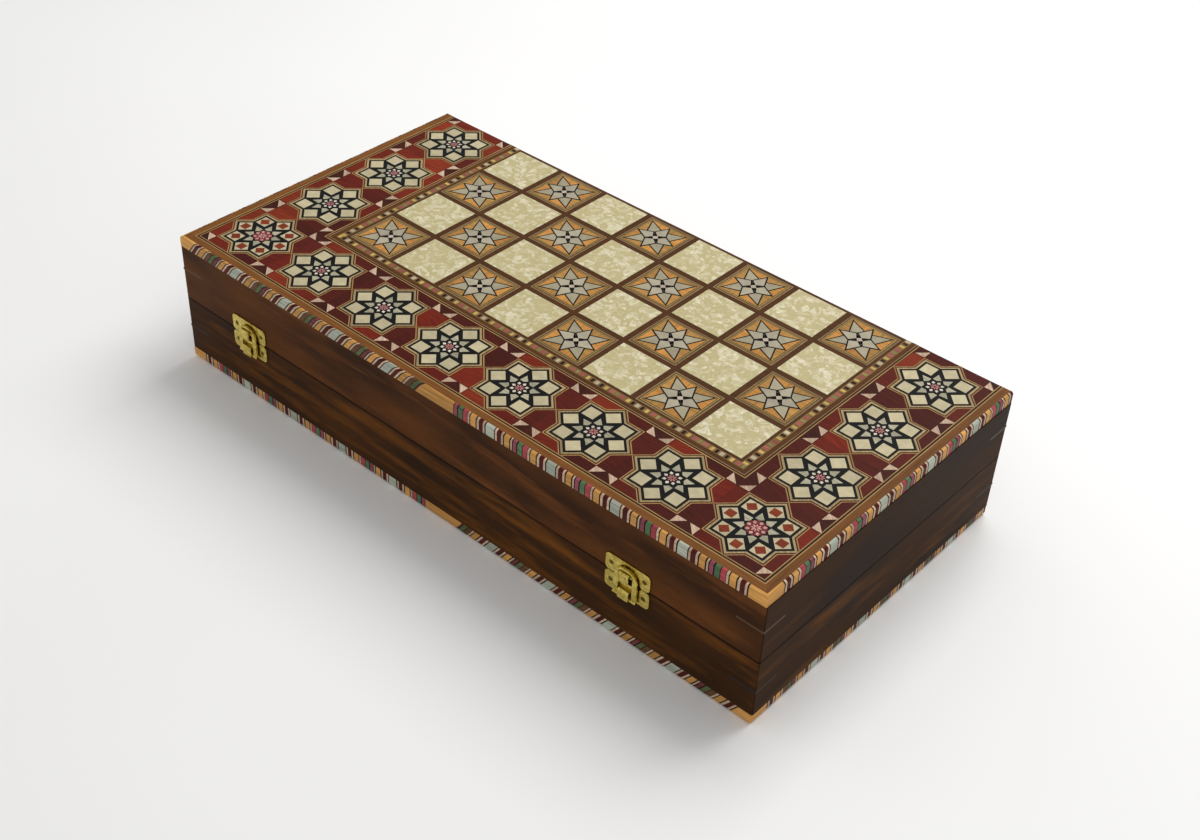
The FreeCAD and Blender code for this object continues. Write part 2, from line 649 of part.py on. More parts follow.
def checker(label, x, y):
    """A turned disc with a raised rim and a dished middle on both faces."""
    body = new_body(label)
    profile = new_sketch(body, "checker_profile", "XZ_Plane")
    dish = "checker_radius - checker_rim"
    add_polygon(profile, [("0", "checker_dish"), (f"{dish} - checker_dish", "checker_dish"),
                          (dish, "0"), ("checker_radius", "0"),
                          ("checker_radius", "checker_thickness"), (dish, "checker_thickness"),
                          (f"{dish} - checker_dish", "checker_thickness - checker_dish"),
                          ("0", "checker_thickness - checker_dish")])
    turned = body.newObject("PartDesign::Revolution", "checker_turned")
    turned.Profile = profile
    turned.ReferenceAxis = (profile, ["V_Axis"])
    turned.Angle = 360
    doc.recompute()
    rims = edges_where(turned, lambda middle, edge: edge.Curve.TypeId == "Part::GeomCircle"
                       and same(edge.Curve.Radius, value("checker_radius")))
    dress(body, turned, "Fillet", rims, "Radius", "checker_round", "checker_edges")
    keep(place(body, x=x, y=y, z=FLOOR_TOP), label)


def checkers():
    """Fifteen light and fifteen dark pieces, five to a point, on every other point."""
    pitch = "(2 * checker_radius + checker_gap)"
    for colour, sign, rows in (("light", "-", (-5, -1, 3)), ("dark", "", (-3, 1, 5))):
        count = 0
        for row in rows:
            for rank in range(CHECKERS_PER_POINT):
                count += 1
                from_wall = f"({INNER_LENGTH} - checker_gap - checker_radius - {rank} * {pitch})"
                across = f"{row} * {INNER_WIDTH} / {POINTS_PER_END}"
                checker(f"{colour}_piece_{count:02d}", sign + from_wall, across)


def pip_places():
    """Outward direction and in-face offsets of every pip, opposite faces adding up to seven."""
    patterns = {1: [(0, 0)], 2: [(-1, -1), (1, 1)], 3: [(-1, -1), (0, 0), (1, 1)],
                4: [(-1, -1), (-1, 1), (1, -1), (1, 1)],
                5: [(-1, -1), (-1, 1), (0, 0), (1, -1), (1, 1)],
                6: [(-1, -1), (-1, 0), (-1, 1), (1, -1), (1, 0), (1, 1)]}
    faces = {1: ("z", -1), 6: ("z", 1), 2: ("y", -1), 5: ("y", 1), 3: ("x", -1), 4: ("x", 1)}
    for number, (axis, direction) in faces.items():
        others = [name for name in "xyz" if name != axis]
        for first, second in patterns[number]:
            yield {axis: ("face", direction), others[0]: ("pitch", first),
                   others[1]: ("pitch", second)}


def die(label, x, y, angle):
    """A rounded cube with a shallow dimple for each pip."""
    body = new_body(f"{label}_block")
    plan = new_sketch(body, "die_plan", "XY_Plane")
    add_rectangle(plan, ("-die_size / 2", "-die_size / 2"), ("die_size / 2", "die_size / 2"))
    block = pad(body, plan, "die_size", "die_cube")
    dress(body, block, "Fillet", edges_where(block, lambda middle, edge: True), "Radius",
          "die_round", "die_edges")
    balls = []
    for spot in pip_places():
        ball = doc.addObject("Part::Sphere", f"{label}_pip")
        ball.setExpression("Radius", bound("pip_radius"))
        for axis, (kind, factor) in spot.items():
            if kind == "face":
                offset = f"{factor} * (die_size / 2 + pip_radius - pip_depth)"
            else:
                offset = f"{factor} * pip_pitch"
            if axis == "z":
                offset += " + die_size / 2"
            ball.setExpression(f"Placement.Base.{axis}", bound(offset))
        balls.append(ball)
    cutter = doc.addObject("Part::Compound", f"{label}_pips")
    cutter.Links = balls
    cut = doc.addObject("Part::Cut", label)
    cut.Base = body
    cut.Tool = cutter
    place(cut, x=x, y=y, z=FLOOR_TOP, rotation=FreeCAD.Rotation(FreeCAD.Vector(0, 0, 1), angle))
    keep(cut, label)


woodwork("lower")
woodwork("upper")

group("lower_hinge_leaves", [hinge_leaf("lower", side, (-2, 0, 2)) for side in HINGE_SIDES])
group("upper_hinge_leaves", [hinge_leaf("upper", side, (-1, 1)) for side in HINGE_SIDES])
group("hinge_pins", [hinge_pin(side) for side in HINGE_SIDES])

for half, label, bend in (("lower", "catch_base_plates", curl), ("upper", "catch_keepers", hook)):
    plates = []
    for side, middle in CATCH_PLACES.items():
        plate = catch_plate(half, side)
        bend(plate)
        plates.append(place(plate, x=middle))
    group(label, plates)

for side in CATCH_PLACES:
    catch_lever(side)

screws("lower")
screws("upper")
checkers()
die("die_one", "-die_spread", "-die_spread / 2", 24)
die("die_two", "die_spread", "die_spread / 2", -38)

doc.recompute()
for feature in doc.Objects:
    if "Invalid" in feature.State or "Error" in feature.State:
        raise ValueError(f"{feature.Name} ({feature.Label}) did not recompute")
for feature in sub_parts:
    if feature.Shape.isNull() or not feature.Shape.isValid():
        raise ValueError(f"{feature.Label} has no valid shape")

os.makedirs("parts", exist_ok=True)
for feature in sub_parts:
    feature.Shape.exportStep(f"parts/{feature.Label}.step")
    print(f"{feature.Label}: {len(feature.Shape.Solids)} solid(s), {feature.Shape.Volume:.0f} mm3")
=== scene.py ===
# %% [markdown]
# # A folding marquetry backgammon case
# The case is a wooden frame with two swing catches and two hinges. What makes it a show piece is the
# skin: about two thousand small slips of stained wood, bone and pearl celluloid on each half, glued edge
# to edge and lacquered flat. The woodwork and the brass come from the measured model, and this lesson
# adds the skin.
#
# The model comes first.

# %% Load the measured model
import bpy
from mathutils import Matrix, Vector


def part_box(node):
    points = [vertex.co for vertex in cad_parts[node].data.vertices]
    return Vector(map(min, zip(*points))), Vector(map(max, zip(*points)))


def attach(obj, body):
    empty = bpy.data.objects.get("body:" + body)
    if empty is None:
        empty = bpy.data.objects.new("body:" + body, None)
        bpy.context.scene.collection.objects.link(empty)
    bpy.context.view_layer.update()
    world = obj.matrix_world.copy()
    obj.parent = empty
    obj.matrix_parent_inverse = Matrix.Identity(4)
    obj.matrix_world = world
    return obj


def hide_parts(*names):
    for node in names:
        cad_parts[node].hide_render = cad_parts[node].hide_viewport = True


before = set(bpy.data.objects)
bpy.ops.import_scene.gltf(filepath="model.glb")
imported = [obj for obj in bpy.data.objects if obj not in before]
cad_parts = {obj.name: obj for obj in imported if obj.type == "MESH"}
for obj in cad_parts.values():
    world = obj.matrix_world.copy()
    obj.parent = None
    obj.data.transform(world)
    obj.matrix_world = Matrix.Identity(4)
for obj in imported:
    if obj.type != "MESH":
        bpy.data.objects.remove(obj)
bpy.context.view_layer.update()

import math

import bpy
import numpy as np

MM = 0.001

# %% [markdown]
# ## Sizes
# Every place on the skin is counted in millimetres from the edges of the case. The edges themselves are
# read from the model's pieces, so the skin follows them.

# %% Read the case's edges
front_low, front_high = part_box("lower_front_wall")
HALF_LENGTH = front_high.x / MM
FRONT = front_low.y / MM
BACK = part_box("lower_back_wall")[1].y / MM
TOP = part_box("upper_chess_veneer")[1].z / MM
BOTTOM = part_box("lower_chess_veneer")[0].z / MM
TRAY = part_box("lower_point_field")[1].z / MM
print("half length", HALF_LENGTH, "front", FRONT, "back", BACK, "top", TOP, "tray floor", TRAY)

# %% [markdown]
# ## Camera
# The camera stands about a metre away, to the right of the middle and well above, with a slight roll, as
# someone leaning over a table would hold it. An angle round the case, an angle above the table, a
# distance, and the point on the top that it aims at place it.

# %% Camera
AZIMUTH, ELEVATION, ROLL = np.radians([39.88, 38.30, -2.97])
DISTANCE = 993.8
AIM = np.array([86.4, -75.0, TOP])
LENS = 50.34


def facing(back):
    """The two directions square to the one that points back: right, which is level, and up."""
    right = np.cross([0, 0, 1], back)
    right /= np.linalg.norm(right)
    return right, np.cross(back, right)


def placed(right, up, back, place):
    """The table of numbers that turns an object to three directions and moves it to a place."""
    table = np.eye(4)
    table[:3, :3] = np.array([right, up, back]).T
    table[:3, 3] = np.asarray(place) * MM
    return table.T.tolist()


around_case = np.array([math.sin(AZIMUTH), -math.cos(AZIMUTH)]) * math.cos(ELEVATION)
camera_back = np.array([*around_case, math.sin(ELEVATION)])
rolled = np.array([[math.cos(ROLL), -math.sin(ROLL)], [math.sin(ROLL), math.cos(ROLL)]])
camera_right, camera_up = rolled @ np.array(facing(camera_back))

camera_data = bpy.data.cameras.new("camera")
camera_data.lens = LENS
camera = bpy.data.objects.new("camera", camera_data)
camera.matrix_world = placed(camera_right, camera_up, camera_back, AIM + camera_back * DISTANCE)
bpy.context.scene.collection.objects.link(camera)
bpy.context.scene.camera = camera
print("camera at", [round(v, 3) for v in camera.matrix_world.translation])

# %% [markdown]
# ## One helper for meshes
# All new pieces are made the same way: numpy works out the places of the corners, and whole arrays go
# into the mesh at once. Faces come in sets, one array for the triangles, one for the quads and so on.

# %% Put arrays into a mesh
def make_piece(name, points, face_sets, finish, body):
    """Points are in millimetres. Each face set is an array with a row of corner numbers for each face."""
    mesh = bpy.data.meshes.new(name)
    sizes = np.concatenate([np.full(len(faces), faces.shape[1]) for faces in face_sets])
    corners = np.concatenate([faces.ravel() for faces in face_sets])
    mesh.vertices.add(len(points))
    mesh.vertices.foreach_set("co", (np.asarray(points) * MM).astype(np.float32).ravel())
    mesh.loops.add(len(corners))
    mesh.loops.foreach_set("vertex_index", corners.astype(np.int32))
    mesh.polygons.add(len(sizes))
    mesh.polygons.foreach_set("loop_start", (np.cumsum(sizes) - sizes).astype(np.int32))
    mesh.update(calc_edges=True)
    mesh.shade_flat()
    mesh.materials.append(finish)
    piece = bpy.data.objects.new(name, mesh)
    bpy.context.scene.collection.objects.link(piece)
    if body:
        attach(piece, body)
    return piece


def face_values(piece, name, values):
    """Writes one value or one colour for each face, which the finishes read by its name."""
    kind, field = ("FLOAT_COLOR", "color") if np.ndim(values) == 2 else ("FLOAT", "value")
    attribute = piece.data.attributes.new(name, kind, "FACE")
    attribute.data.foreach_set(field, np.asarray(values, np.float32).ravel())


# %% [markdown]
# ## Colours and nodes
# Colours are written as the hex values of a paint chart. The shader works with linear light, so one
# function turns them. One more function adds a node, with its settings and its links together, which
# keeps each finish short enough to read.

# %% Colours and nodes
def linear(code):
    """A hex colour as linear red, green, blue: each channel follows the sRGB curve."""
    channels = np.array([int(code[i:i + 2], 16) for i in (1, 3, 5)]) / 255
    low, high = channels / 12.92, ((channels + 0.055) / 1.055) ** 2.4
    return (*np.where(channels <= 0.04045, low, high).tolist(), 1.0)


def add(tree, kind, inputs=(), **settings):
    """Adds one node, sets its own settings, then fills its inputs with plain values or with links."""
    made = tree.nodes.new(kind)
    for key, value in settings.items():
        setattr(made, key, value)
    for key, value in dict(inputs).items():
        if isinstance(value, bpy.types.NodeSocket):
            tree.links.new(value, made.inputs[key])
        else:
            made.inputs[key].default_value = value
    return made


def new_finish(name):
    """A finish with an empty node tree, and the tree."""
    finish = bpy.data.materials.new(name)
    finish.use_nodes = True
    finish.node_tree.nodes.clear()
    return finish, finish.node_tree


# A Mix node has a set of sockets for each kind of value, with the same names, so they go by number: the
# share, then the two colours and the mixed colour, then the two vectors and the mixed vector.
SHARE = 0
COLOUR_A, COLOUR_B, MIXED_COLOUR = 6, 7, 2
VECTOR_A, VECTOR_B, MIXED_VECTOR = 4, 5, 1

# %% [markdown]
# ## The light
# A pale table and a soft, even light from all round, with one large soft panel high up behind the case.
# The panel gives the lacquered top its gentle shine and leaves the walls darker than the top.

# %% Floor, sky and panel
pale_card, tree = new_finish("pale_matt_card")
where = add(tree, "ShaderNodeTexCoord").outputs["Object"]
clouds = add(tree, "ShaderNodeTexNoise", {"Vector": where, "Scale": 3.0, "Detail": 2.0}).outputs["Fac"]
tones = {SHARE: clouds, COLOUR_A: linear("#F4F3F1"), COLOUR_B: linear("#FAFAF9")}
card = add(tree, "ShaderNodeMix", tones, data_type="RGBA").outputs[MIXED_COLOUR]
paper = {"Base Color": card, "Roughness": 0.9, "Specular IOR Level": 0.1}
shader = add(tree, "ShaderNodeBsdfPrincipled", paper)
add(tree, "ShaderNodeOutputMaterial", {"Surface": shader.outputs["BSDF"]})

REACH, CELLS, GAP = 6000.0, 8, 0.2
across = np.linspace(-REACH, REACH, CELLS + 1)
grid = np.stack(np.meshgrid(across, across, indexing="ij"), -1).reshape(-1, 2)
floor_points = np.column_stack([grid, np.full(len(grid), BOTTOM - GAP)])
near_corner = (np.arange(CELLS)[:, None] * (CELLS + 1) + np.arange(CELLS)).reshape(-1, 1)
make_piece("floor", floor_points, [near_corner + [0, CELLS + 1, CELLS + 2, 1]], pale_card, None)

world = bpy.data.worlds.new("soft_room")
world.use_nodes = True
sky = world.node_tree.nodes["Background"]
sky.inputs["Color"].default_value = linear("#FFFFFF")
sky.inputs["Strength"].default_value = 0.57
bpy.context.scene.world = world


def soft_panel(name, place, aim, size, power):
    """A square lamp at a place, turned to face the aim. Lengths are in millimetres, power in watts."""
    lamp_data = bpy.data.lights.new(name, "AREA")
    lamp_data.size = size * MM
    lamp_data.energy = power
    lamp = bpy.data.objects.new(name, lamp_data)
    back = np.subtract(place, aim) / np.linalg.norm(np.subtract(place, aim))
    lamp.matrix_world = placed(*facing(back), back, place)
    bpy.context.scene.collection.objects.link(lamp)


soft_panel("high_panel", (150.0, 900.0, 1500.0), (0.0, 0.0, 60.0), 1200.0, 19.5)
bpy.context.scene.view_settings.view_transform = "Standard"
print("floor, sky and one panel")

# %% [markdown]
# ## Finish: stained veneer
# Marquetry slips are thin sawn wood, dyed in a bath and lacquered after laying. The dye goes right
# through, so each slip has one colour, and the wood's own grain darkens it in fine lines. Each slip
# carries its dye, its grain direction and a small difference in tone as face values, and this one finish
# reads them. The lacquer is a thin clear coat over the wood.

# %% Stained veneer
def grain_lines(tree, where, long, across, detail=5.0):
    """Noise stretched along the first axis, so that a fibre streak is long by across millimetres."""
    scale = (1 / (long * MM), 1 / (across * MM), 1 / (across * MM))
    stretched = add(tree, "ShaderNodeMapping", {"Vector": where, "Scale": scale}).outputs[0]
    noise = {"Vector": stretched, "Scale": 1.0, "Detail": detail, "Roughness": 0.6}
    return add(tree, "ShaderNodeTexNoise", noise).outputs["Fac"]


def shaded_dye(tree, pattern, pattern_shades, tone, tone_shades):
    """The slip's dye times two shades: one follows the pattern and one the slip's tone. Each pair of
    shades is the lowest and the highest."""
    low, high = pattern_shades
    span = {"Value": pattern, "From Min": 0.3, "From Max": 0.7, "To Min": low, "To Max": high}
    pattern_shade = add(tree, "ShaderNodeMapRange", span).outputs[0]
    low, high = tone_shades
    tone_shade = add(tree, "ShaderNodeMapRange", {"Value": tone, "To Min": low, "To Max": high}).outputs[0]
    both = add(tree, "ShaderNodeMath", {0: pattern_shade, 1: tone_shade}, operation="MULTIPLY").outputs[0]
    dye = add(tree, "ShaderNodeAttribute", attribute_name="dye").outputs["Color"]
    return add(tree, "ShaderNodeVectorMath", {0: dye, "Scale": both}, operation="SCALE").outputs[0]


# The slip's tone also moves the noise, so that two neighbours never share a grain line.
stained_veneer, tree = new_finish("stained_veneer_under_lacquer")
where = add(tree, "ShaderNodeTexCoord").outputs["Object"]
angle = add(tree, "ShaderNodeAttribute", attribute_name="grain").outputs["Fac"]
tone = add(tree, "ShaderNodeAttribute", attribute_name="tone").outputs["Fac"]
slip_shift = add(tree, "ShaderNodeCombineXYZ", {"X": tone, "Y": tone, "Z": tone}).outputs[0]
shifted = add(tree, "ShaderNodeVectorMath", {0: where, 1: slip_shift}, operation="ADD").outputs[0]
turning = {"Vector": shifted, "Angle": angle}
along_grain = add(tree, "ShaderNodeVectorRotate", turning, rotation_type="Z_AXIS").outputs[0]
lines = grain_lines(tree, along_grain, 24.0, 1.1)
wood_colour = shaded_dye(tree, lines, (0.64, 1.28), tone, (0.84, 1.16))
shader = add(tree, "ShaderNodeBsdfPrincipled", {
    "Base Color": wood_colour, "Roughness": 0.5, "Specular IOR Level": 0.07,
    "Coat Weight": 0.04, "Coat Roughness": 0.15})
add(tree, "ShaderNodeOutputMaterial", {"Surface": shader.outputs["BSDF"]})
print("finish:", stained_veneer.name)

# %% [markdown]
# ## Slips
# A slip is a flat outline with a thickness. Instead of cutting every gap to shape, wide slips are laid
# low and narrow ones a few hundredths of a millimetre higher, so each upper slip hides the middle of the
# one below. Level 0 is the lowest and level 9 is flush with the top. The steps are far too small to see,
# and what stays visible is the pattern.

# %% Rings, blocks and turning over
LAYER = 0.04
LAYERS = 9
SKIN = LAYER * LAYERS + 0.02
rng = np.random.default_rng(7)


def outward(first, second):
    """Corners must run anticlockwise as seen from the second ring. The first ring's area vector tells
    which way they run, and both rings are reversed where it points the wrong way."""
    arm = first - first.mean(1, keepdims=True)
    area = np.cross(arm, np.roll(arm, -1, 1)).sum(1)
    wrong = ((area * (second - first).mean(1)).sum(-1) < 0)[:, None, None]
    return np.where(wrong, first[:, ::-1], first), np.where(wrong, second[:, ::-1], second)


def blocks(first, second, dye, grain=0.0):
    """Pairs of rings with a dye and a grain angle, one for all of them or one for each."""
    first, second = outward(np.asarray(first, float), np.asarray(second, float))
    codes = [dye] * len(first) if isinstance(dye, str) else list(dye)
    dyes = np.array([linear(code) for code in codes])
    return first, second, dyes, np.radians(np.broadcast_to(grain, len(first)))


def slips(outlines, level, dye, grain=0.0, top=TOP):
    """Flat outlines, an array of (slip, corner, x and y), become pairs of rings: one just inside the
    board below and one at the level."""
    heights = np.full((*outlines.shape[:2], 1), top)
    low = np.concatenate([outlines, heights - SKIN], -1)
    high = np.concatenate([outlines, heights - LAYER * (LAYERS - level)], -1)
    return blocks(low, high, dye, grain)


def turned_over(points):
    """The other half of the case is the same part turned half way round the middle line that runs from
    front to back."""
    return np.array([-1, 1, -1]) * points + [0, 0, TOP + BOTTOM]


def inlay(name, groups, finish, native="upper"):
    """Builds the groups as one piece on each half: ring, ring and the quads between them. The native
    half has them as given, and the other turned over. Each slip draws its own tone."""
    points, sides, start = [], [], 0
    for first, second, dyes, grains in groups:
        count, corners = first.shape[:2]
        ring = start + np.arange(count * corners).reshape(count, corners)
        other = ring + count * corners
        following = np.roll(ring, -1, 1)
        quads = np.stack([ring, following, following + count * corners, other], -1).reshape(-1, 4)
        per_slip = np.column_stack([dyes, grains, rng.random(count)])
        points += [first.reshape(-1, 3), second.reshape(-1, 3)]
        sides += [(ring[:, ::-1], per_slip), (other, per_slip), (quads, np.repeat(per_slip, corners, 0))]
        start += 2 * count * corners
    points = np.concatenate(points)
    face_sets = [faces for faces, values in sides]
    values = np.concatenate([values for faces, values in sides])
    made = []
    for half in ("upper", "lower"):
        places = points if half == native else turned_over(points)
        piece = make_piece(f"{half}_{name}", places, face_sets, finish, f"{half}_case")
        face_values(piece, "dye", values[:, :4])
        face_values(piece, "grain", values[:, 4])
        face_values(piece, "tone", values[:, 5])
        made.append(piece)
    print(name, sum(len(dyes) for first, second, dyes, grains in groups), "slips on each half")
    return made


# %% [markdown]
# ## Shapes for the pattern
# The pattern is all straight lines: rectangles, strips with mitred corners, and stars. Each shape is
# made once round the middle, then turned or moved to all its places at once.

# %% Shapes
EIGHTHS = 45.0 * np.arange(8)
BETWEEN = EIGHTHS + 22.5
QUARTERS = 90.0 * np.arange(4)
U_GRAIN = (90.0, 0.0, 90.0)


def rectangles(x0, x1, y0, y1):
    """Corners of rectangles from their sides, which may be numbers or arrays."""
    sides = [np.atleast_1d(np.asarray(value, float)) for value in (x0, x1, y0, y1)]
    x0, x1, y0, y1 = np.broadcast_arrays(*sides)
    corners = [np.stack(corner, -1) for corner in ((x0, y0), (x1, y0), (x1, y1), (x0, y1))]
    return np.stack(corners, 1)


def centred_square(side):
    """One square about the middle."""
    return rectangles(-side / 2, side / 2, -side / 2, side / 2)


def u_strip(inner, outer):
    """Three strips between two distances from the left, front and right edges, mitred at the front
    corners and open at the hinges."""
    near, far = HALF_LENGTH - inner, HALF_LENGTH - outer
    left = [(-near, FRONT + inner), (-near, BACK), (-far, BACK), (-far, FRONT + outer)]
    front = [(-near, FRONT + inner), (near, FRONT + inner), (far, FRONT + outer), (-far, FRONT + outer)]
    right = [(-x, y) for x, y in left]
    return np.array([left, front, right], float)


def polar(radius, degrees):
    """Points at these distances and angles from the middle."""
    radius, angle = np.broadcast_arrays(np.asarray(radius, float), np.radians(degrees))
    return np.stack([radius * np.cos(angle), radius * np.sin(angle)], -1)


def octagram(reach):
    """Two crossed squares: eight points at the reach, and between them eight inner corners at 0.7654
    of it, the cosine of 45 degrees over the cosine of 22.5."""
    k = np.arange(16)
    return polar(np.where(k % 2 == 0, reach, 0.7654 * reach), 22.5 * k)[None]


def around(outline, degrees):
    """One outline turned round the middle by each of the angles."""
    x, y = np.asarray(outline, float).T
    cos, sin = np.cos(np.radians(degrees))[:, None], np.sin(np.radians(degrees))[:, None]
    return np.stack([x * cos - y * sin, x * sin + y * cos], -1)


def at(outlines, places):
    """Every outline at every place."""
    moved = np.asarray(places, float)[:, None, None] + outlines[None]
    return moved.reshape(-1, *outlines.shape[1:])


def grown(outlines, margin):
    """Each side moves out by the margin, and each corner slides along the line that halves its angle,
    at most 2.4 margins."""
    x, y = outlines[..., 0], outlines[..., 1]
    area = (x * np.roll(y, -1, 1) - np.roll(x, -1, 1) * y).sum(1)
    outlines = np.where((area < 0)[:, None, None], outlines[:, ::-1], outlines)
    side = np.roll(outlines, -1, 1) - outlines
    normal = np.stack([side[..., 1], -side[..., 0]], -1) / np.linalg.norm(side, axis=-1, keepdims=True)
    before = np.roll(normal, 1, 1)
    slide = (normal + before) / (1 + (normal * before).sum(-1, keepdims=True))
    length = np.linalg.norm(slide, axis=-1, keepdims=True)
    return outlines + margin * slide * np.minimum(1, 2.4 / length)


def within_back(outlines):
    """Corners past the hinged edge move back to it, which trims the outline there."""
    outlines[..., 1] = np.minimum(outlines[..., 1], BACK)
    return outlines


# %% [markdown]
# ## Borders
# From the rim inwards come a plain strip of warm brown wood, a fine line of light, dark and light
# stringing, the wide band of rosettes, the same stringing again, a second brown strip, and a narrow
# mosaic. The list gives where each strip starts and ends, counted from the rim, and its level.

# %% Ground and borders
PALE, HONEY, DARK = "#A68250", "#74481E", "#22130C"
RIM = HALF_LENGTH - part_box("upper_chess_veneer")[1].x / MM
BAND_OUTER, BAND_INNER, MOSAIC_OUTER, FIELD = 9.8, 68.4, 74.0, 78.8
STRIPS = [
    (RIM, 7.2, 5, HONEY),
    (7.2, BAND_OUTER, 4, DARK),
    (7.2, 7.9, 6, PALE),
    (9.1, BAND_OUTER, 6, PALE),
    (BAND_INNER, 71.0, 4, DARK),
    (BAND_INNER, 69.1, 6, PALE),
    (70.2, 70.9, 6, "#94704E"),
    (71.0, MOSAIC_OUTER, 5, "#593612"),
    (MOSAIC_OUTER, FIELD, 1, "#806438"),
]
GROUND_THICKNESS = 1.0

ground = slips(rectangles(-HALF_LENGTH + RIM, HALF_LENGTH - RIM, FRONT + RIM, BACK), 0, "#4C2D13")
ground[0][..., 2] = TOP - GROUND_THICKNESS
for half, piece in zip(("upper", "lower"), inlay("chess_ground", [ground], stained_veneer)):
    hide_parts(f"{half}_chess_veneer")
borders = [slips(u_strip(inner, outer), level, dye, U_GRAIN) for inner, outer, level, dye in STRIPS]
inlay("border_strips", borders, stained_veneer)

# %% [markdown]
# ## The rosette band's ground
# Each rosette sits on a square tile of mahogany. The tile is cut in eight from its middle, and a slip
# that meets the next tile keeps its colour across the joint, as if one piece of wood ran through. At each
# corner of a tile lies a dark square with a small pale triangle, its right angle towards the rosette.

# %% Tiles
PITCH = 60.26
FIRST = 39.1
HALF_TILE = PITCH / 2
front_x = -HALF_LENGTH + FIRST + PITCH * np.arange(8)
side_y = FRONT + FIRST + PITCH * np.arange(1, 4)
front_tiles = np.column_stack([front_x, np.full(8, FRONT + FIRST)])
side_tiles = np.concatenate([np.column_stack([np.full(3, x), side_y]) for x in (front_x[0], front_x[-1])])
tiles = np.concatenate([front_tiles, side_tiles])
corner_tiles = front_tiles[[0, -1]]
plain_tiles = np.concatenate([front_tiles[1:-1], side_tiles])

MAHOGANY = ["#70210C", "#62190A", "#7C2A10", "#54170A", "#4A1408", "#461208", "#6C1E0A"]
SCATTER_X, SCATTER_Y, SCATTER_SIZE = 12.9898, 78.233, 43758.5453


def eight_wedges(half):
    """A square about the middle, cut into eight triangles from its middle."""
    first = around([(0, 0), (half, 0), (half, half)], QUARTERS)
    second = around([(0, 0), (half, half), (0, half)], QUARTERS)
    return np.concatenate([first, second])


def tile_grounds(places):
    """The key point of each wedge is the middle of its outer side, so that neighbours across a joint
    share it. A sine of the key, times a large number, leaves a fraction that looks random and picks the
    colour and the grain, up to 25 degrees either way."""
    outlines = at(eight_wedges(HALF_TILE), places)
    key = np.rint(outlines[:, 1:].mean(1))
    pick = np.abs(np.sin(key[:, 0] * SCATTER_X + key[:, 1] * SCATTER_Y) * SCATTER_SIZE) % 1
    colours = [MAHOGANY[int(share * len(MAHOGANY))] for share in pick]
    return slips(within_back(outlines), 1, colours, pick * 50 - 25)


def corner_triangles(places):
    """A dark square from 21.3 out to the tile's corner, and on it a right triangle with legs of 7.1."""
    square = around([(21.3, 21.3), (HALF_TILE, 21.3), (HALF_TILE, HALF_TILE), (21.3, HALF_TILE)], QUARTERS)
    triangle = around([(21.9, 21.9), (29.0, 21.9), (21.9, 29.0)], QUARTERS)
    return [
        slips(within_back(at(square, places)), 2, "#3E1409", 30),
        slips(within_back(at(triangle, places)), 3, "#BFA38A", 45),
    ]


inlay("rosette_ground", [tile_grounds(tiles)] + corner_triangles(tiles), stained_veneer)

# %% [markdown]
# ## Rosettes
# A rosette is an eight-pointed star of black wood with light stringing round it. Eight squares of bone
# stand on their corners round it, and inside them eight grey-green kites make a smaller star about a
# tiny red and white flower. In the two corner rosettes each bone square carries a red diamond.

# %% Rosettes
BLACK, GREY_GREEN = "#0A0B0A", "#A6A188"
STARS = [(30.5, "#AA8250", 45), (29.5, "#2C1A12", 45), (28.4, "#A68E66", 45), (26.5, BLACK, 0)]
BONE_MIDDLE, BONE_HALF, RED_HALF = 17.9, 6.3, 2.9

# A flower is its ground, outer petals, heart and inner petals, and the reach of its ground.
PLAIN_FLOWER = (BLACK, "#CFC6B4", "#5E141C", "#B88A84", 6.4)
CORNER_FLOWER = ("#6E2626", "#C49A90", "#7E2428", "#D0A89C", 6.9)


def octagon(reach):
    """Eight corners at the reach, between the star's eight directions."""
    return polar(np.full(8, reach), BETWEEN)[None]


def rosette_wood(places, top=TOP):
    """Nested stars from the stringing inwards. A star's reach falls by 1.4 times the width of each line.
    The kites and the disc lie on the black star."""
    stars = [slips(at(octagram(reach), places), level, dye, grain, top)
             for level, (reach, dye, grain) in enumerate(STARS, 2)]
    kite = around(polar([13.5, 8.4, 6.7, 8.4], [0, 19, 0, -19]), BETWEEN)
    return stars + [
        slips(at(kite, places), 6, GREY_GREEN, 0, top),
        slips(at(octagon(6.6), places), 6, BLACK, 0, top),
    ]


def rosette_flower(places, ground, outer, heart, inner, reach, top=TOP):
    """Eight rhombus petals stand on the ground's rim, and eight narrow ones between them on the heart.
    Distances are shares of the reach."""
    outer_petal = around(polar(reach * np.array([0.5, 0.72, 0.94, 0.72]), [0, 15, 0, -15]), EIGHTHS)
    inner_petal = around(polar(reach * np.array([0.06, 0.3, 0.5, 0.3]), [0, 13, 0, -13]), BETWEEN)
    return [
        slips(at(octagon(reach), places), 7, ground, 0, top),
        slips(at(outer_petal, places), 8, outer, 0, top),
        slips(at(octagon(0.48 * reach), places), 8, heart, 0, top),
        slips(at(inner_petal, places), 9, inner, 0, top),
    ]


def on_corner(middle, half):
    """A square that stands on its corner, its middle out along the first axis and its corners at half
    its diagonal."""
    return [(middle + half, 0), (middle, half), (middle - half, 0), (middle, -half)]


def bone_squares(places, top=TOP):
    """A square with a corner outwards at each of eight places round each rosette."""
    return [slips(at(around(on_corner(BONE_MIDDLE, BONE_HALF), EIGHTHS), places), 6, "#BDB18E", 0, top)]


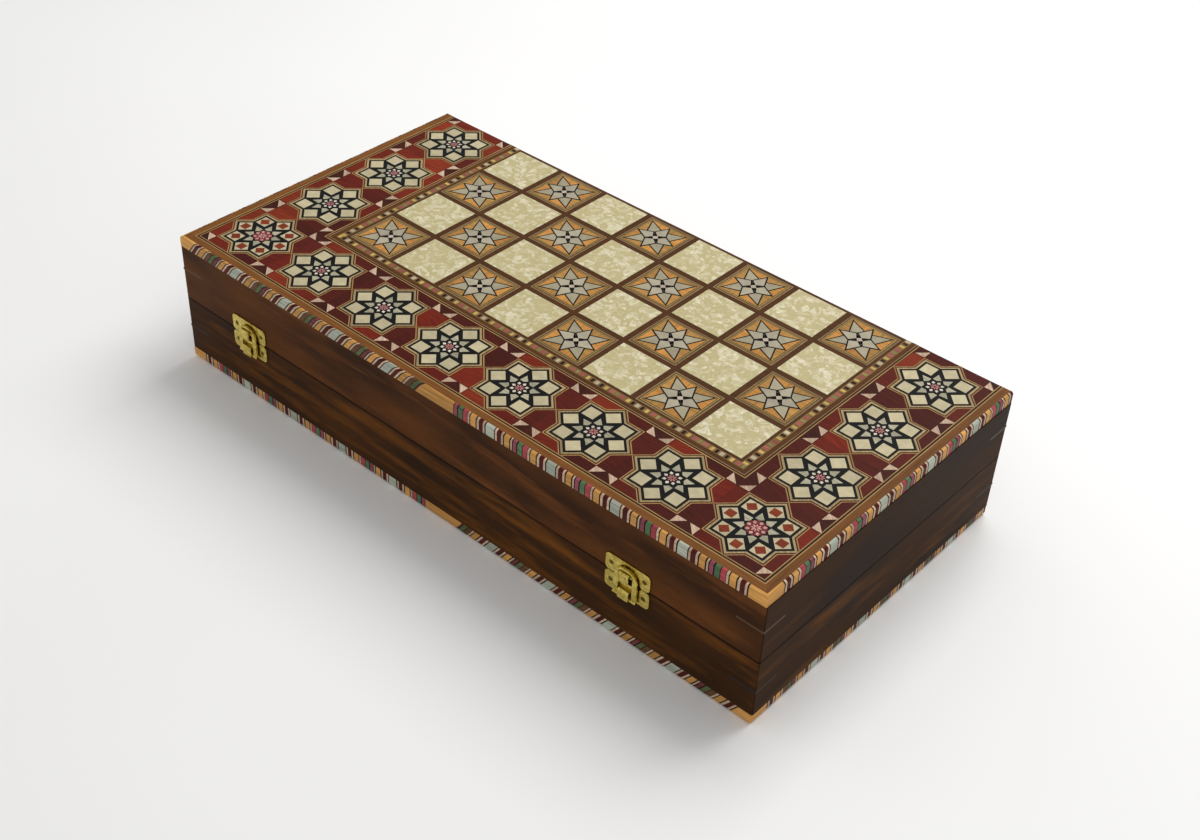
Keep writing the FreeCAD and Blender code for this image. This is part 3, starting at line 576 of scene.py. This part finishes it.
red_near, red_far = BONE_MIDDLE - RED_HALF, BONE_MIDDLE + RED_HALF
red_square = [(red_far, RED_HALF), (red_near, RED_HALF), (red_near, -RED_HALF), (red_far, -RED_HALF)]
red_diamonds = slips(at(around(red_square, EIGHTHS), corner_tiles), 7, "#7C3218")
flowers = rosette_flower(plain_tiles, *PLAIN_FLOWER) + rosette_flower(corner_tiles, *CORNER_FLOWER)
inlay("rosettes", rosette_wood(tiles) + flowers + [red_diamonds], stained_veneer)

# %% [markdown]
# ## Finish: bone
# The pale squares are cattle bone, sawn and polished. Bone is a warm greenish white with faint cloudy
# marks and a soft shine, so its pattern is only a low noise.

# %% Bone
CLOUD_SIZE = 5.0
bone, tree = new_finish("polished_cattle_bone")
where = add(tree, "ShaderNodeTexCoord").outputs["Object"]
tone = add(tree, "ShaderNodeAttribute", attribute_name="tone").outputs["Fac"]
noise = {"Vector": where, "Scale": 1 / (CLOUD_SIZE * MM), "Detail": 4.0}
cloud = add(tree, "ShaderNodeTexNoise", noise).outputs["Fac"]
bone_colour = shaded_dye(tree, cloud, (0.88, 1.1), tone, (0.88, 1.08))
shader = add(tree, "ShaderNodeBsdfPrincipled", {
    "Base Color": bone_colour, "Roughness": 0.45, "Specular IOR Level": 0.12,
    "Coat Weight": 0.06, "Coat Roughness": 0.15})
add(tree, "ShaderNodeOutputMaterial", {"Surface": shader.outputs["BSDF"]})
inlay("bone_squares", bone_squares(tiles), bone)

# %% [markdown]
# ## The mosaic border
# The narrow border is cut from a stick of coloured slats glued side by side. Its bars repeat about every
# thirty-two millimetres, so a cumulative sum of the widths gives every joint at once.

# %% Mosaic border
TAN, STRAW, BRICK, JET = "#7C5C38", "#C0A25C", "#96564A", "#17110D"
MOSAIC = [
    (STRAW, 2.4), (TAN, 1.5), (JET, 2.0), (TAN, 1.2), ("#B4A88C", 3.0), (TAN, 1.2), (JET, 2.0), (TAN, 1.5),
    (STRAW, 2.4), (TAN, 2.0), (BRICK, 3.4), (TAN, 0.9), ("#8A8050", 2.4), (TAN, 0.9), (BRICK, 3.4),
    (TAN, 2.2),
]
MOSAIC_EDGE = 0.7
SHORTEST_BAR = 0.05


def bars(sequence, start, end):
    """Where bars of the sequence start and end along a run, with their colours. The sequence repeats
    until the run is full, and the last bar is cut at its end."""
    widths = np.array([width for colour, width in sequence])
    repeats = math.ceil((end - start) / widths.sum())
    ends = start + np.cumsum(np.tile(widths, repeats))
    starts = ends - np.tile(widths, repeats)
    used = starts < end - SHORTEST_BAR
    colours = [sequence[i % len(sequence)][0] for i in np.flatnonzero(used)]
    return starts[used], np.minimum(ends[used], end), colours


low, high = MOSAIC_OUTER + MOSAIC_EDGE, FIELD - MOSAIC_EDGE
front_starts, front_ends, front_dyes = bars(MOSAIC, -HALF_LENGTH + low, HALF_LENGTH - low)
side_starts, side_ends, side_dyes = bars(MOSAIC, FRONT + high, BACK)
mosaic = [
    slips(rectangles(front_starts, front_ends, FRONT + low, FRONT + high), 4, front_dyes, 90),
    slips(rectangles(-HALF_LENGTH + low, -HALF_LENGTH + high, side_starts, side_ends), 4, side_dyes),
    slips(rectangles(HALF_LENGTH - high, HALF_LENGTH - low, side_starts, side_ends), 4, side_dyes),
]
inlay("mosaic_border", mosaic, stained_veneer)

# %% [markdown]
# ## The chess field
# Eight by four squares fill the middle of each half, so the two halves make a chessboard when the case
# lies open. The dark squares of an ordinary board are stars here, and the light ones are pearl. A star
# square is a frame, a ground of orange and tan, and a grey star of eight slips outlined in black. The
# grey slips are bone, so they are a piece of their own.

# %% Star squares
SQUARE = (2 * HALF_LENGTH - 2 * FIELD) / 8
INLAID_SQUARE, STAR_GROUND, HUB = 38.4, 32.4, 7.2
STAR_FRAMES = [(INLAID_SQUARE, "#988058"), (37.2, "#6C5230"), (34.6, "#A08A58"), (33.4, "#563F26")]
OUTLINE = 1.0

column, row = np.meshgrid(np.arange(8), np.arange(4))
centres = np.column_stack([
    (-HALF_LENGTH + FIELD + SQUARE * (column + 0.5)).ravel(),
    (FRONT + FIELD + SQUARE * (row + 0.5)).ravel(),
])
is_star = ((column + row) % 2 == 0).ravel()
stars, pearls = centres[is_star], centres[~is_star]

kites = around([(14.4, 0), (5.6, 4.4), (2.4, 0), (5.6, -4.4)], QUARTERS)
spikes = around([(14.4, 14.4), (3.5, 9.7), (3.4, 3.4), (9.7, 3.5)], QUARTERS)
diamonds = around(on_corner(0, 2.4), [0.0])
sector_dyes = (["#BC8442"] * 4 + ["#AC8044"] * 4) * len(stars)
sector_grain = np.tile(np.concatenate([QUARTERS, QUARTERS + 90]), len(stars))

star_squares = [slips(at(centred_square(side), stars), level, dye)
                for level, (side, dye) in enumerate(STAR_FRAMES, 1)]
star_squares += [
    slips(at(eight_wedges(STAR_GROUND / 2), stars), 5, sector_dyes, sector_grain),
    slips(at(grown(spikes, OUTLINE), stars), 6, BLACK),
    slips(at(grown(kites, OUTLINE), stars), 8, BLACK),
    slips(at(centred_square(HUB), stars), 8, "#1C0F0E"),
]
inlay("star_squares", star_squares, stained_veneer)
star_leaves = [
    slips(at(spikes, stars), 7, "#A1987F"),
    slips(at(kites, stars), 9, "#A9A08A"),
    slips(at(diamonds, stars), 9, "#B4A796"),
]
inlay("star_leaves", star_leaves, bone)

# %% [markdown]
# ## Finish: pearl celluloid
# The light squares are sheet celluloid with pearl flakes in it, as on accordions and drums. The flakes
# lie in every direction, so some flash white and others stay green-grey. Noise cells give the flakes,
# and a bent coordinate makes them swirl; the green-grey sheet and the flake pattern are the celluloid's
# own, and the white flash is painted glint in the colour. The finish makes its own colours and doesn't
# read the dye.

# %% Pearl squares
SWIRL, BEND, FLAKE, FINE_FLAKE = 16.0, 12.0, 3.2, 2.0
pearl, tree = new_finish("pearl_celluloid_sheet")
where = add(tree, "ShaderNodeTexCoord").outputs["Object"]
noise = {"Vector": where, "Scale": 1 / (SWIRL * MM), "Detail": 3.0}
swirl = add(tree, "ShaderNodeTexNoise", noise).outputs["Color"]
bending = {SHARE: BEND * MM, VECTOR_A: where, VECTOR_B: swirl}
bent = add(tree, "ShaderNodeMix", bending, data_type="VECTOR").outputs[MIXED_VECTOR]
cells = {"Vector": bent, "Scale": 1 / (FLAKE * MM), "Randomness": 1.0}
flakes = add(tree, "ShaderNodeTexVoronoi", cells, feature="F1").outputs["Color"]
flake_tone = add(tree, "ShaderNodeSeparateColor", {"Color": flakes}).outputs[0]
noise = {"Vector": bent, "Scale": 1 / (FINE_FLAKE * MM), "Detail": 5.0, "Distortion": 1.5}
fine = add(tree, "ShaderNodeTexNoise", noise).outputs["Fac"]
mixed = add(tree, "ShaderNodeMath", {0: flake_tone, 1: fine}, operation="MULTIPLY").outputs[0]
# The white flash of the flakes is painted glint: flake cells mixed toward near-white in the colour.
span = {"Value": mixed, "From Min": 0.22, "From Max": 0.6, "To Max": 0.85}
painted_flake_glint = add(tree, "ShaderNodeMapRange", span).outputs[0]
tones = {SHARE: fine, COLOUR_A: linear("#A69B6C"), COLOUR_B: linear("#C9BC8B")}
sheet = add(tree, "ShaderNodeMix", tones, data_type="RGBA").outputs[MIXED_COLOUR]
tones = {SHARE: painted_flake_glint, COLOUR_A: sheet, COLOUR_B: linear("#E6DEC4")}
pearl_colour = add(tree, "ShaderNodeMix", tones, data_type="RGBA").outputs[MIXED_COLOUR]
shader = add(tree, "ShaderNodeBsdfPrincipled", {
    "Base Color": pearl_colour, "Roughness": 0.35, "Specular IOR Level": 0.35,
    "Coat Weight": 0.12, "Coat Roughness": 0.12})
add(tree, "ShaderNodeOutputMaterial", {"Surface": shader.outputs["BSDF"]})
inlay("pearl_squares", [slips(at(centred_square(INLAID_SQUARE), pearls), 7, "#C9C796")], pearl)

# %% [markdown]
# ## The rim banding
# Round the rim runs a stick of short coloured blocks, glued end to end, let into the walls' top edge and
# rounded over by hand. Each block is a ring at its start and a ring at its end, and the ring is the
# section of the stick. The stick at the left of the front was sawn on the slant, so its joints lean.

# %% Sticks of coloured blocks
ORANGE, CREAM, MAROON, INK, BONE_GREY = "#CE9752", "#C8AC90", "#4E1C18", "#1C1214", "#AEB4A4"


def stick_repeat(first, second, third):
    """One repeat of the stick, 49 mm long: pairs of maroon and orange blocks about three blocks of the
    given colours, and a bone block at the end."""
    return [
        (INK, 1.0), (CREAM, 1.5), (MAROON, 3.3), (CREAM, 1.7), (INK, 1.0), (ORANGE, 4.3), (INK, 0.8),
        (CREAM, 1.5), (INK, 0.4), (first, 3.5), (INK, 0.6), (second, 3.5), (INK, 1.0), (third, 2.7),
        (INK, 0.8), (CREAM, 1.2), (INK, 1.0), (ORANGE, 4.1), (INK, 1.0), (CREAM, 1.5), (MAROON, 3.5),
        (CREAM, 1.5), (INK, 0.8), (BONE_GREY, 6.8),
    ]


RUN_RIGHT = stick_repeat("#A8484E", "#55724F", "#8E4A54")
RUN_LEFT = stick_repeat("#6A4A30", "#5C6440", "#7A4040")
stick_low, stick_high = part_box("upper_edge_banding")
STICK_HEIGHT, STICK_ROUND = (stick_high.z - stick_low.z) / MM, 2.0
print("a stick", round(STICK_HEIGHT, 2), "mm tall, rounded by", STICK_ROUND, "mm")


def stick_section():
    """The stick's section, as distances in from the face and heights: straight sides, and a quarter
    circle at the outer top."""
    angle = np.linspace(np.pi, np.pi / 2, 9)
    inwards = STICK_ROUND + STICK_ROUND * np.cos(angle)
    heights = TOP - STICK_ROUND + STICK_ROUND * np.sin(angle)
    foot = TOP - STICK_HEIGHT
    return np.array([RIM, 0.0, *inwards, RIM]), np.array([foot, foot, *heights, TOP])


def stick_run(starts, ends, colours, lean, place, grain):
    """Rings of the section at each block's start and end. A run that starts at a corner has its first
    ring moved along by the distance in, which is the mitre. The lean, one number for the starts and one
    for the ends, is how far a joint runs back for each millimetre down the face."""
    inwards, heights = stick_section()
    backwards = heights - TOP + inwards
    first = starts[:, None] + lean[0] * backwards
    second = ends[:, None] + lean[1] * backwards
    if starts[0] == 0:
        first[0] = inwards
    inwards, heights = np.broadcast_to(inwards, first.shape), np.broadcast_to(heights, first.shape)
    return blocks(place(first, inwards, heights), place(second, inwards, heights), colours, grain)


# %% Lay the sticks round the rim
def edge(corner, run_way, in_way):
    """A function that places sections: from the corner, so far along the run's direction and so far in
    along the other, at their own heights."""
    def place(run, inwards, heights):
        flat = np.array(corner) + run[..., None] * run_way + inwards[..., None] * in_way
        return np.concatenate([flat, heights[..., None]], -1)
    return place


def corner_run(sequence, corner, length, lean, place, grain):
    """A run from a front corner: a plain block of the corner's length, then the sequence as far as the
    run goes."""
    starts, ends, colours = bars(sequence, corner, length)
    colours = [ORANGE, *colours]
    return stick_run(np.append(0.0, starts), np.append(corner, ends), colours, lean, place, grain)


LEAN, LEFT_CORNER, RIGHT_CORNER, SIDE_CORNER, MIDDLE_HALF = 0.75, 15.0, 12.6, 15.0, 13.5
LEFT, RIGHT, INTO = np.array([-1.0, 0.0]), np.array([1.0, 0.0]), np.array([0.0, 1.0])
left_corner, right_corner = (-HALF_LENGTH, FRONT), (HALF_LENGTH, FRONT)
front_from_left = edge(left_corner, RIGHT, INTO)
middle_block = HALF_LENGTH + MIDDLE_HALF * np.array([-1.0, 1.0])
depth = BACK - FRONT
rim = [
    corner_run(RUN_LEFT, LEFT_CORNER, middle_block[0], (LEAN, LEAN), front_from_left, 0),
    stick_run(middle_block[:1], middle_block[1:], [ORANGE], (LEAN, 0), front_from_left, 0),
    corner_run(RUN_RIGHT, RIGHT_CORNER, middle_block[0], (0, 0), edge(right_corner, LEFT, INTO), 0),
    corner_run(RUN_LEFT, SIDE_CORNER, depth, (0, 0), edge(left_corner, INTO, RIGHT), 90),
    corner_run(RUN_RIGHT, SIDE_CORNER, depth, (0, 0), edge(right_corner, INTO, LEFT), 90),
]
for half, piece in zip(("upper", "lower"), inlay("rim_banding", rim, stained_veneer)):
    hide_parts(f"{half}_edge_banding")

# %% [markdown]
# ## Inside: the backgammon points
# Each half holds twelve points, six from each end, in two woods by turns. Between them lies a panel
# with three rosettes of the same kind as outside. The points are long triangles with a light line
# round them.

# %% Points
TRAY_X, TRAY_Y = (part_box("lower_point_field")[1][axis] / MM for axis in (0, 1))
TIP_X, TIP_HALF, FOOT_HALF, POINT_LINE = 40.0, 0.5, 16.6, 0.8
PANEL, PANEL_LIGHT, PANEL_DARK, PANEL_END = 32.6, 33.4, 35.2, 36.0

rows = 2 * TRAY_Y / 6 * (np.arange(6) - 2.5)
point = np.array([(-TRAY_X, -FOOT_HALF), (-TRAY_X, FOOT_HALF), (-TIP_X, TIP_HALF), (-TIP_X, -TIP_HALF)])
left_points = at(point[None], np.column_stack([np.zeros(6), rows]))
all_points = np.concatenate([left_points, -left_points])
panel_tiles = np.array([(0.0, -66.0), (0.0, 0.0), (0.0, 66.0)])
tray_ground = slips(rectangles(-TRAY_X, TRAY_X, -TRAY_Y, TRAY_Y), 0, "#6A2A18", 0, TRAY)
tray_ground[0][..., 2] = TRAY - GROUND_THICKNESS
tray = [
    tray_ground,
    slips(grown(all_points, POINT_LINE), 1, "#D8C090", 0, TRAY),
    slips(all_points, 2, ["#3A2010", "#CFA868"] * 6, 0, TRAY),
    slips(rectangles([-PANEL_END, PANEL], [-PANEL, PANEL_END], -TRAY_Y, TRAY_Y), 3, PALE, 90, TRAY),
    slips(rectangles([-PANEL_DARK, PANEL_LIGHT], [-PANEL_LIGHT, PANEL_DARK], -TRAY_Y, TRAY_Y), 4, DARK,
          90, TRAY),
    slips(rectangles(-PANEL, PANEL, -TRAY_Y, TRAY_Y), 1, "#5A1F18", 90, TRAY),
]
tray += rosette_wood(panel_tiles, TRAY) + rosette_flower(panel_tiles, *PLAIN_FLOWER, TRAY)
for half, piece in zip(("upper", "lower"), inlay("point_inlay", tray, stained_veneer, "lower")):
    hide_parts(f"{half}_point_field")
inlay("panel_bone", bone_squares(panel_tiles, TRAY), bone, "lower")

# %% [markdown]
# ## Finish: walnut
# The walls are walnut boards, planed along the grain, oiled dark and given a thin satin lacquer. The
# eye sees long streaks of orange brown in near-black brown, and between them short dark pores. The
# boards of the front and back run along the case, and those of the ends across it, and the two halves
# were cut from different boards, so the finish is made four times. The finishes of the ends are darker
# than those of the front and back: painted shade, as for walls turned away from the light.

# %% Walnut
MOUTH = (TOP + BOTTOM) / 2
# Painted shade along the gap where the halves meet: where it is darkest, where it ends, and how dark.
GAP_SHADE_CORE, GAP_SHADE_EDGE, GAP_SHADE_DEPTH = 0.5, 1.0, 0.15


def painted_gap_shade(tree, where):
    """Painted shade where the halves meet, for the gap between them: the gap shade's depth up to the
    core's distance from the mouth, rising to one at the edge's distance. A face that looks up or down is
    not darkened."""
    height = add(tree, "ShaderNodeSeparateXYZ", {"Vector": where}).outputs["Z"]
    from_mouth = add(tree, "ShaderNodeMath", {0: height, 1: MOUTH * MM}, operation="SUBTRACT").outputs[0]
    away = add(tree, "ShaderNodeMath", {0: from_mouth}, operation="ABSOLUTE").outputs[0]
    span = {"Value": away, "From Min": GAP_SHADE_CORE * MM, "From Max": GAP_SHADE_EDGE * MM, "To Min": GAP_SHADE_DEPTH}
    near = add(tree, "ShaderNodeMapRange", span).outputs[0]
    normal = add(tree, "ShaderNodeTexCoord").outputs["Normal"]
    upright = add(tree, "ShaderNodeSeparateXYZ", {"Vector": normal}).outputs["Z"]
    flat = add(tree, "ShaderNodeMath", {0: upright}, operation="ABSOLUTE").outputs[0]
    return add(tree, "ShaderNodeMath", {0: near, 1: flat}, operation="MAXIMUM").outputs[0]


def walnut(name, shadow, body, streak, streak_share, turn):
    """Three noises: wide clouds of tone, long streaks of a lighter brown, and short pores. Turn is the
    direction of the grain in degrees."""
    finish, tree = new_finish(name)
    where = add(tree, "ShaderNodeTexCoord").outputs["Object"]
    turning = {"Vector": where, "Angle": math.radians(turn)}
    where = add(tree, "ShaderNodeVectorRotate", turning, rotation_type="Z_AXIS").outputs[0]
    clouds = grain_lines(tree, where, 120.0, 30.0, 2.0)
    streaks = grain_lines(tree, where, 100.0, 11.0, 3.0)
    pores = grain_lines(tree, where, 7.0, 0.9, 4.0)
    span = {"Value": clouds, "From Min": 0.35, "From Max": 0.68}
    cloud_share = add(tree, "ShaderNodeMapRange", span).outputs[0]
    tones = {SHARE: cloud_share, COLOUR_A: linear(shadow), COLOUR_B: linear(body)}
    brown = add(tree, "ShaderNodeMix", tones, data_type="RGBA").outputs[MIXED_COLOUR]
    span = {"Value": streaks, "From Min": 1 - streak_share, "From Max": 1 - streak_share + 0.25}
    share = add(tree, "ShaderNodeMapRange", span).outputs[0]
    tones = {SHARE: share, COLOUR_A: brown, COLOUR_B: linear(streak)}
    streaked = add(tree, "ShaderNodeMix", tones, data_type="RGBA").outputs[MIXED_COLOUR]
    span = {"Value": pores, "From Min": 0.3, "From Max": 0.7, "To Min": 0.86, "To Max": 1.12}
    pore_shade = add(tree, "ShaderNodeMapRange", span).outputs[0]
    # The pores' shade times the painted shade at the gap between the halves.
    shades = {0: pore_shade, 1: painted_gap_shade(tree, where)}
    shade = add(tree, "ShaderNodeMath", shades, operation="MULTIPLY").outputs[0]
    colour = add(tree, "ShaderNodeVectorMath", {0: streaked, "Scale": shade}, operation="SCALE").outputs[0]
    relief = {"Height": pores, "Strength": 0.15, "Distance": 0.05 * MM}
    bump = add(tree, "ShaderNodeBump", relief).outputs[0]
    rough = add(tree, "ShaderNodeMapRange", {"Value": clouds, "To Min": 0.42, "To Max": 0.58}).outputs[0]
    shader = add(tree, "ShaderNodeBsdfPrincipled", {
        "Base Color": colour, "Roughness": rough, "Specular IOR Level": 0.04, "Normal": bump})
    add(tree, "ShaderNodeOutputMaterial", {"Surface": shader.outputs["BSDF"]})
    return finish


upper_along = walnut("satin_walnut_upper_long", "#3A2212", "#663C1B", "#784620", 0.45, 0)
# The end walls' colours are painted shade: darker than the long walls', as for sides turned from the light.
upper_end_painted_shade = walnut("satin_walnut_upper_end_painted_shade", "#27160A", "#3C240E", "#4E2E0C", 0.42, 90)
lower_along = walnut("satin_walnut_lower_long", "#301D0E", "#4A2C13", "#744515", 0.50, 0)
lower_end_painted_shade = walnut("satin_walnut_lower_end_painted_shade", "#28170A", "#40260D", "#5C3710", 0.50, 90)
print("four walnut finishes, dark within", GAP_SHADE_EDGE, "mm of height", MOUTH)

# %% [markdown]
# ## Finish: plain woods
# Plywood for the boards under the veneer, pale strips for the upper corner keys and dark ones for the
# lower, and two woods for the men: boxwood, which is close-grained and yellow, and walnut.

# %% Plain woods
def plain_wood(name, pale, dark, long, across, roughness, coat):
    """Two tones mixed by stretched noise of the given streak size, and a polish of the given coat."""
    finish, tree = new_finish(name)
    where = add(tree, "ShaderNodeTexCoord").outputs["Object"]
    lines = grain_lines(tree, where, long, across)
    share = add(tree, "ShaderNodeMapRange", {"Value": lines, "From Min": 0.32, "From Max": 0.68}).outputs[0]
    tones = {SHARE: share, COLOUR_A: linear(dark), COLOUR_B: linear(pale)}
    colour = add(tree, "ShaderNodeMix", tones, data_type="RGBA").outputs[MIXED_COLOUR]
    relief = {"Height": lines, "Strength": 0.15, "Distance": 0.05 * MM}
    bump = add(tree, "ShaderNodeBump", relief).outputs[0]
    shader = add(tree, "ShaderNodeBsdfPrincipled", {
        "Base Color": colour, "Roughness": roughness, "Specular IOR Level": 0.2, "Normal": bump,
        "Coat Weight": coat, "Coat Roughness": 0.2})
    add(tree, "ShaderNodeOutputMaterial", {"Surface": shader.outputs["BSDF"]})
    return finish


plywood = plain_wood("birch_plywood", "#B89468", "#967248", 60.0, 2.0, 0.6, 0.0)
pale_key = plain_wood("oiled_beech_key", "#5A3C24", "#46301C", 12.0, 0.8, 0.5, 0.0)
dark_key = plain_wood("oiled_walnut_key", "#241610", "#160E0A", 12.0, 0.8, 0.5, 0.0)
boxwood_man = plain_wood("turned_boxwood", "#D9B878", "#C39C58", 14.0, 0.7, 0.38, 0.2)
walnut_man = plain_wood("turned_walnut", "#5A3218", "#371F0F", 14.0, 0.7, 0.38, 0.12)
print("five plain woods")

# %% [markdown]
# ## Finish: metals
# The catches and hinges are stamped sheet brass, tumbled bright and clear-lacquered. Tumbling leaves a
# soft haze and faint dents, so the roughness varies a little. The screws are brassed steel, and the
# hinge pins bare steel.

# %% Metals
DENT_SIZE = 3.0


def metal(name, bright, dull, roughness, haze, dent):
    """A metal whose colour and roughness drift with a soft noise. The roughness goes up and down by the
    haze, and the dents are of the given depth in millimetres."""
    finish, tree = new_finish(name)
    where = add(tree, "ShaderNodeTexCoord").outputs["Object"]
    noise = {"Vector": where, "Scale": 1 / (DENT_SIZE * MM), "Detail": 3.0}
    drift = add(tree, "ShaderNodeTexNoise", noise).outputs["Fac"]
    share = add(tree, "ShaderNodeMapRange", {"Value": drift, "From Min": 0.3, "From Max": 0.7}).outputs[0]
    tones = {SHARE: share, COLOUR_A: linear(dull), COLOUR_B: linear(bright)}
    colour = add(tree, "ShaderNodeMix", tones, data_type="RGBA").outputs[MIXED_COLOUR]
    span = {"Value": drift, "To Min": roughness - haze, "To Max": roughness + haze}
    rough = add(tree, "ShaderNodeMapRange", span).outputs[0]
    relief = {"Height": drift, "Strength": 0.3, "Distance": dent * MM}
    bump = add(tree, "ShaderNodeBump", relief).outputs[0]
    shader = add(tree, "ShaderNodeBsdfPrincipled", {
        "Base Color": colour, "Metallic": 1.0, "Roughness": rough, "Normal": bump})
    add(tree, "ShaderNodeOutputMaterial", {"Surface": shader.outputs["BSDF"]})
    return finish


brass = metal("tumbled_sheet_brass", "#E8D272", "#B49C44", 0.28, 0.08, 0.1)
screw_metal = metal("brassed_steel_screw", "#8A7430", "#54461C", 0.38, 0.08, 0.05)
pin_metal = metal("drawn_steel_pin", "#B8B4AC", "#8C8880", 0.3, 0.05, 0.02)
print("three metals")

# %% [markdown]
# ## Finish: dice
# The dice are cast resin the colour of old ivory, slightly cloudy and a little see-through at the
# edges. Their pips are drilled hollows filled with black paint, which the next step adds as thin black
# cups just inside the hollows.

# %% Dice resin and pip paint
resin, tree = new_finish("cast_ivory_resin")
where = add(tree, "ShaderNodeTexCoord").outputs["Object"]
noise = {"Vector": where, "Scale": 1 / (4 * MM), "Detail": 3.0}
cloud = add(tree, "ShaderNodeTexNoise", noise).outputs["Fac"]
tones = {SHARE: cloud, COLOUR_A: linear("#E6DABC"), COLOUR_B: linear("#F2EAD4")}
ivory = add(tree, "ShaderNodeMix", tones, data_type="RGBA").outputs[MIXED_COLOUR]
shader = add(tree, "ShaderNodeBsdfPrincipled", {
    "Base Color": ivory, "Roughness": 0.25, "Subsurface Weight": 0.1, "Subsurface Scale": 2 * MM})
add(tree, "ShaderNodeOutputMaterial", {"Surface": shader.outputs["BSDF"]})

pip_paint, tree = new_finish("black_pip_paint")
where = add(tree, "ShaderNodeTexCoord").outputs["Object"]
noise = {"Vector": where, "Scale": 1 / (0.8 * MM), "Detail": 2.0}
cloud = add(tree, "ShaderNodeTexNoise", noise).outputs["Fac"]
tones = {SHARE: cloud, COLOUR_A: linear("#0C0B0A"), COLOUR_B: linear("#1E1C1A")}
soot = add(tree, "ShaderNodeMix", tones, data_type="RGBA").outputs[MIXED_COLOUR]
shader = add(tree, "ShaderNodeBsdfPrincipled", {"Base Color": soot, "Roughness": 0.4})
add(tree, "ShaderNodeOutputMaterial", {"Surface": shader.outputs["BSDF"]})
print("finishes:", resin.name, pip_paint.name)

# %% [markdown]
# ## Pips
# A cup is two caps of nearly the same ball, the outer one against the hollow and the inner one in the
# open, joined round the rim. One cup is made for a face that looks up, then turned to all six faces and
# moved to each pip. Opposite faces add up to seven.

# %% Black cups in the hollows
DIE_HALF, PIP_BALL, PIP_DEPTH, PIP_PITCH = 6.0, 1.1, 0.55, 3.1
INNER_GAP, OUTER_GAP = 0.08, 0.03
RINGS, SPOKES = 6, 12
DIE_TURNS = {"die_one": 24.0, "die_two": -38.0}
ODD = [(0, 0)]
DIAGONAL = [(-1, -1), (1, 1)]
SQUARE_OF_FOUR = [(-1, -1), (-1, 1), (1, -1), (1, 1)]
PATTERNS = {1: ODD, 2: DIAGONAL, 3: DIAGONAL + ODD, 4: SQUARE_OF_FOUR, 5: SQUARE_OF_FOUR + ODD,
            6: SQUARE_OF_FOUR + [(-1, 0), (1, 0)]}
FACES = {1: (2, -1), 6: (2, 1), 2: (1, -1), 5: (1, 1), 3: (0, -1), 4: (0, 1)}


def cup_rings():
    """Six rings of twelve points: down the inner cap from rim to middle, then up the outer cap. A ring
    is at a steepness from the ball's lowest point, and the ball's middle is above the face by the radius
    less the depth."""
    steepness = np.radians([57.0, 36.0, 12.0, 12.0, 36.0, 57.0])
    radius = PIP_BALL - np.repeat([INNER_GAP, OUTER_GAP], RINGS // 2)
    turn = np.radians(360 / SPOKES * np.arange(SPOKES))
    flat = (radius * np.sin(steepness))[:, None, None] * np.stack([np.cos(turn), np.sin(turn)], -1)
    height = (PIP_BALL - PIP_DEPTH - radius * np.cos(steepness))[:, None, None]
    return np.concatenate([flat, np.broadcast_to(height, (RINGS, SPOKES, 1))], -1).reshape(-1, 3)


def pip_cups(number):
    """The cups of one face: the cup's own up goes along the face's axis and out of the die, and its two
    other directions keep the handedness."""
    axis, direction = FACES[number]
    others = [k for k in range(3) if k != axis]
    directions = np.zeros((3, 3))
    directions[2, axis] = direction
    directions[0, others[0]] = 1
    directions[1] = np.cross(directions[2], directions[0])
    places = np.zeros((len(PATTERNS[number]), 3))
    places[:, others] = PIP_PITCH * np.array(PATTERNS[number])
    places[:, axis] = direction * DIE_HALF
    return places[:, None] + cup_rings() @ directions


# The rings join in a loop, except between the two innermost, which are closed by flat ends.
ring = SPOKES * np.arange(RINGS)[:, None] + np.arange(SPOKES)
along = np.roll(ring, -1, 1)
quads = np.stack([ring, along, np.roll(along, -1, 0), np.roll(ring, -1, 0)], -1)
cup_sides = np.delete(quads, RINGS // 2 - 1, 0).reshape(-1, 4)
cup_ends = np.stack([ring[RINGS // 2 - 1], ring[RINGS // 2, ::-1]])
cups = np.concatenate([pip_cups(number) for number in FACES])
first_points = RINGS * SPOKES * np.arange(len(cups))[:, None, None]
cup_faces = [(first_points + faces).reshape(-1, faces.shape[1]) for faces in (cup_sides, cup_ends)]
for name, turn in DIE_TURNS.items():
    low_corner, high_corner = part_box(name)
    middle = np.array((low_corner + high_corner) / 2) / MM
    cos, sin = math.cos(math.radians(turn)), math.sin(math.radians(turn))
    points = cups.reshape(-1, 3) @ np.array([[cos, sin, 0], [-sin, cos, 0], [0, 0, 1]]) + middle
    make_piece(f"{name}_pips", points, cup_faces, pip_paint, name)
    print(name, "has", len(cups), "pips about", middle.round(1).tolist())

# %% [markdown]
# ## Dressing the model's own pieces
# The woodwork and the hardware keep the shape of the measured model and only take a finish.

# %% Give each node its finish
DRESS = [
    (upper_along, ["upper_front_wall", "upper_back_wall"]),
    (upper_end_painted_shade, ["upper_left_wall", "upper_right_wall"]),
    (lower_along, ["lower_front_wall", "lower_back_wall"]),
    (lower_end_painted_shade, ["lower_left_wall", "lower_right_wall"]),
    (pale_key, ["upper_corner_keys"]),
    (dark_key, ["lower_corner_keys"]),
    (plywood, ["upper_base_board", "lower_base_board"]),
    (brass, ["upper_hinge_leaves", "lower_hinge_leaves", "catch_base_plates", "catch_keepers"]),
    (brass, ["left_catch_lever", "right_catch_lever"]),
    (pin_metal, ["hinge_pins"]),
    (screw_metal, ["upper_screws", "lower_screws"]),
    (resin, ["die_one", "die_two"]),
    (boxwood_man, [f"light_piece_{number:02d}" for number in range(1, 16)]),
    (walnut_man, [f"dark_piece_{number:02d}" for number in range(1, 16)]),
]
for finish, names in DRESS:
    for name in names:
        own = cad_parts[name].data.materials
        own.clear()
        own.append(finish)
dressed = {name for finish, names in DRESS for name in names}
print("dressed", len(dressed), "nodes; replaced:", sorted(set(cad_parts) - dressed))
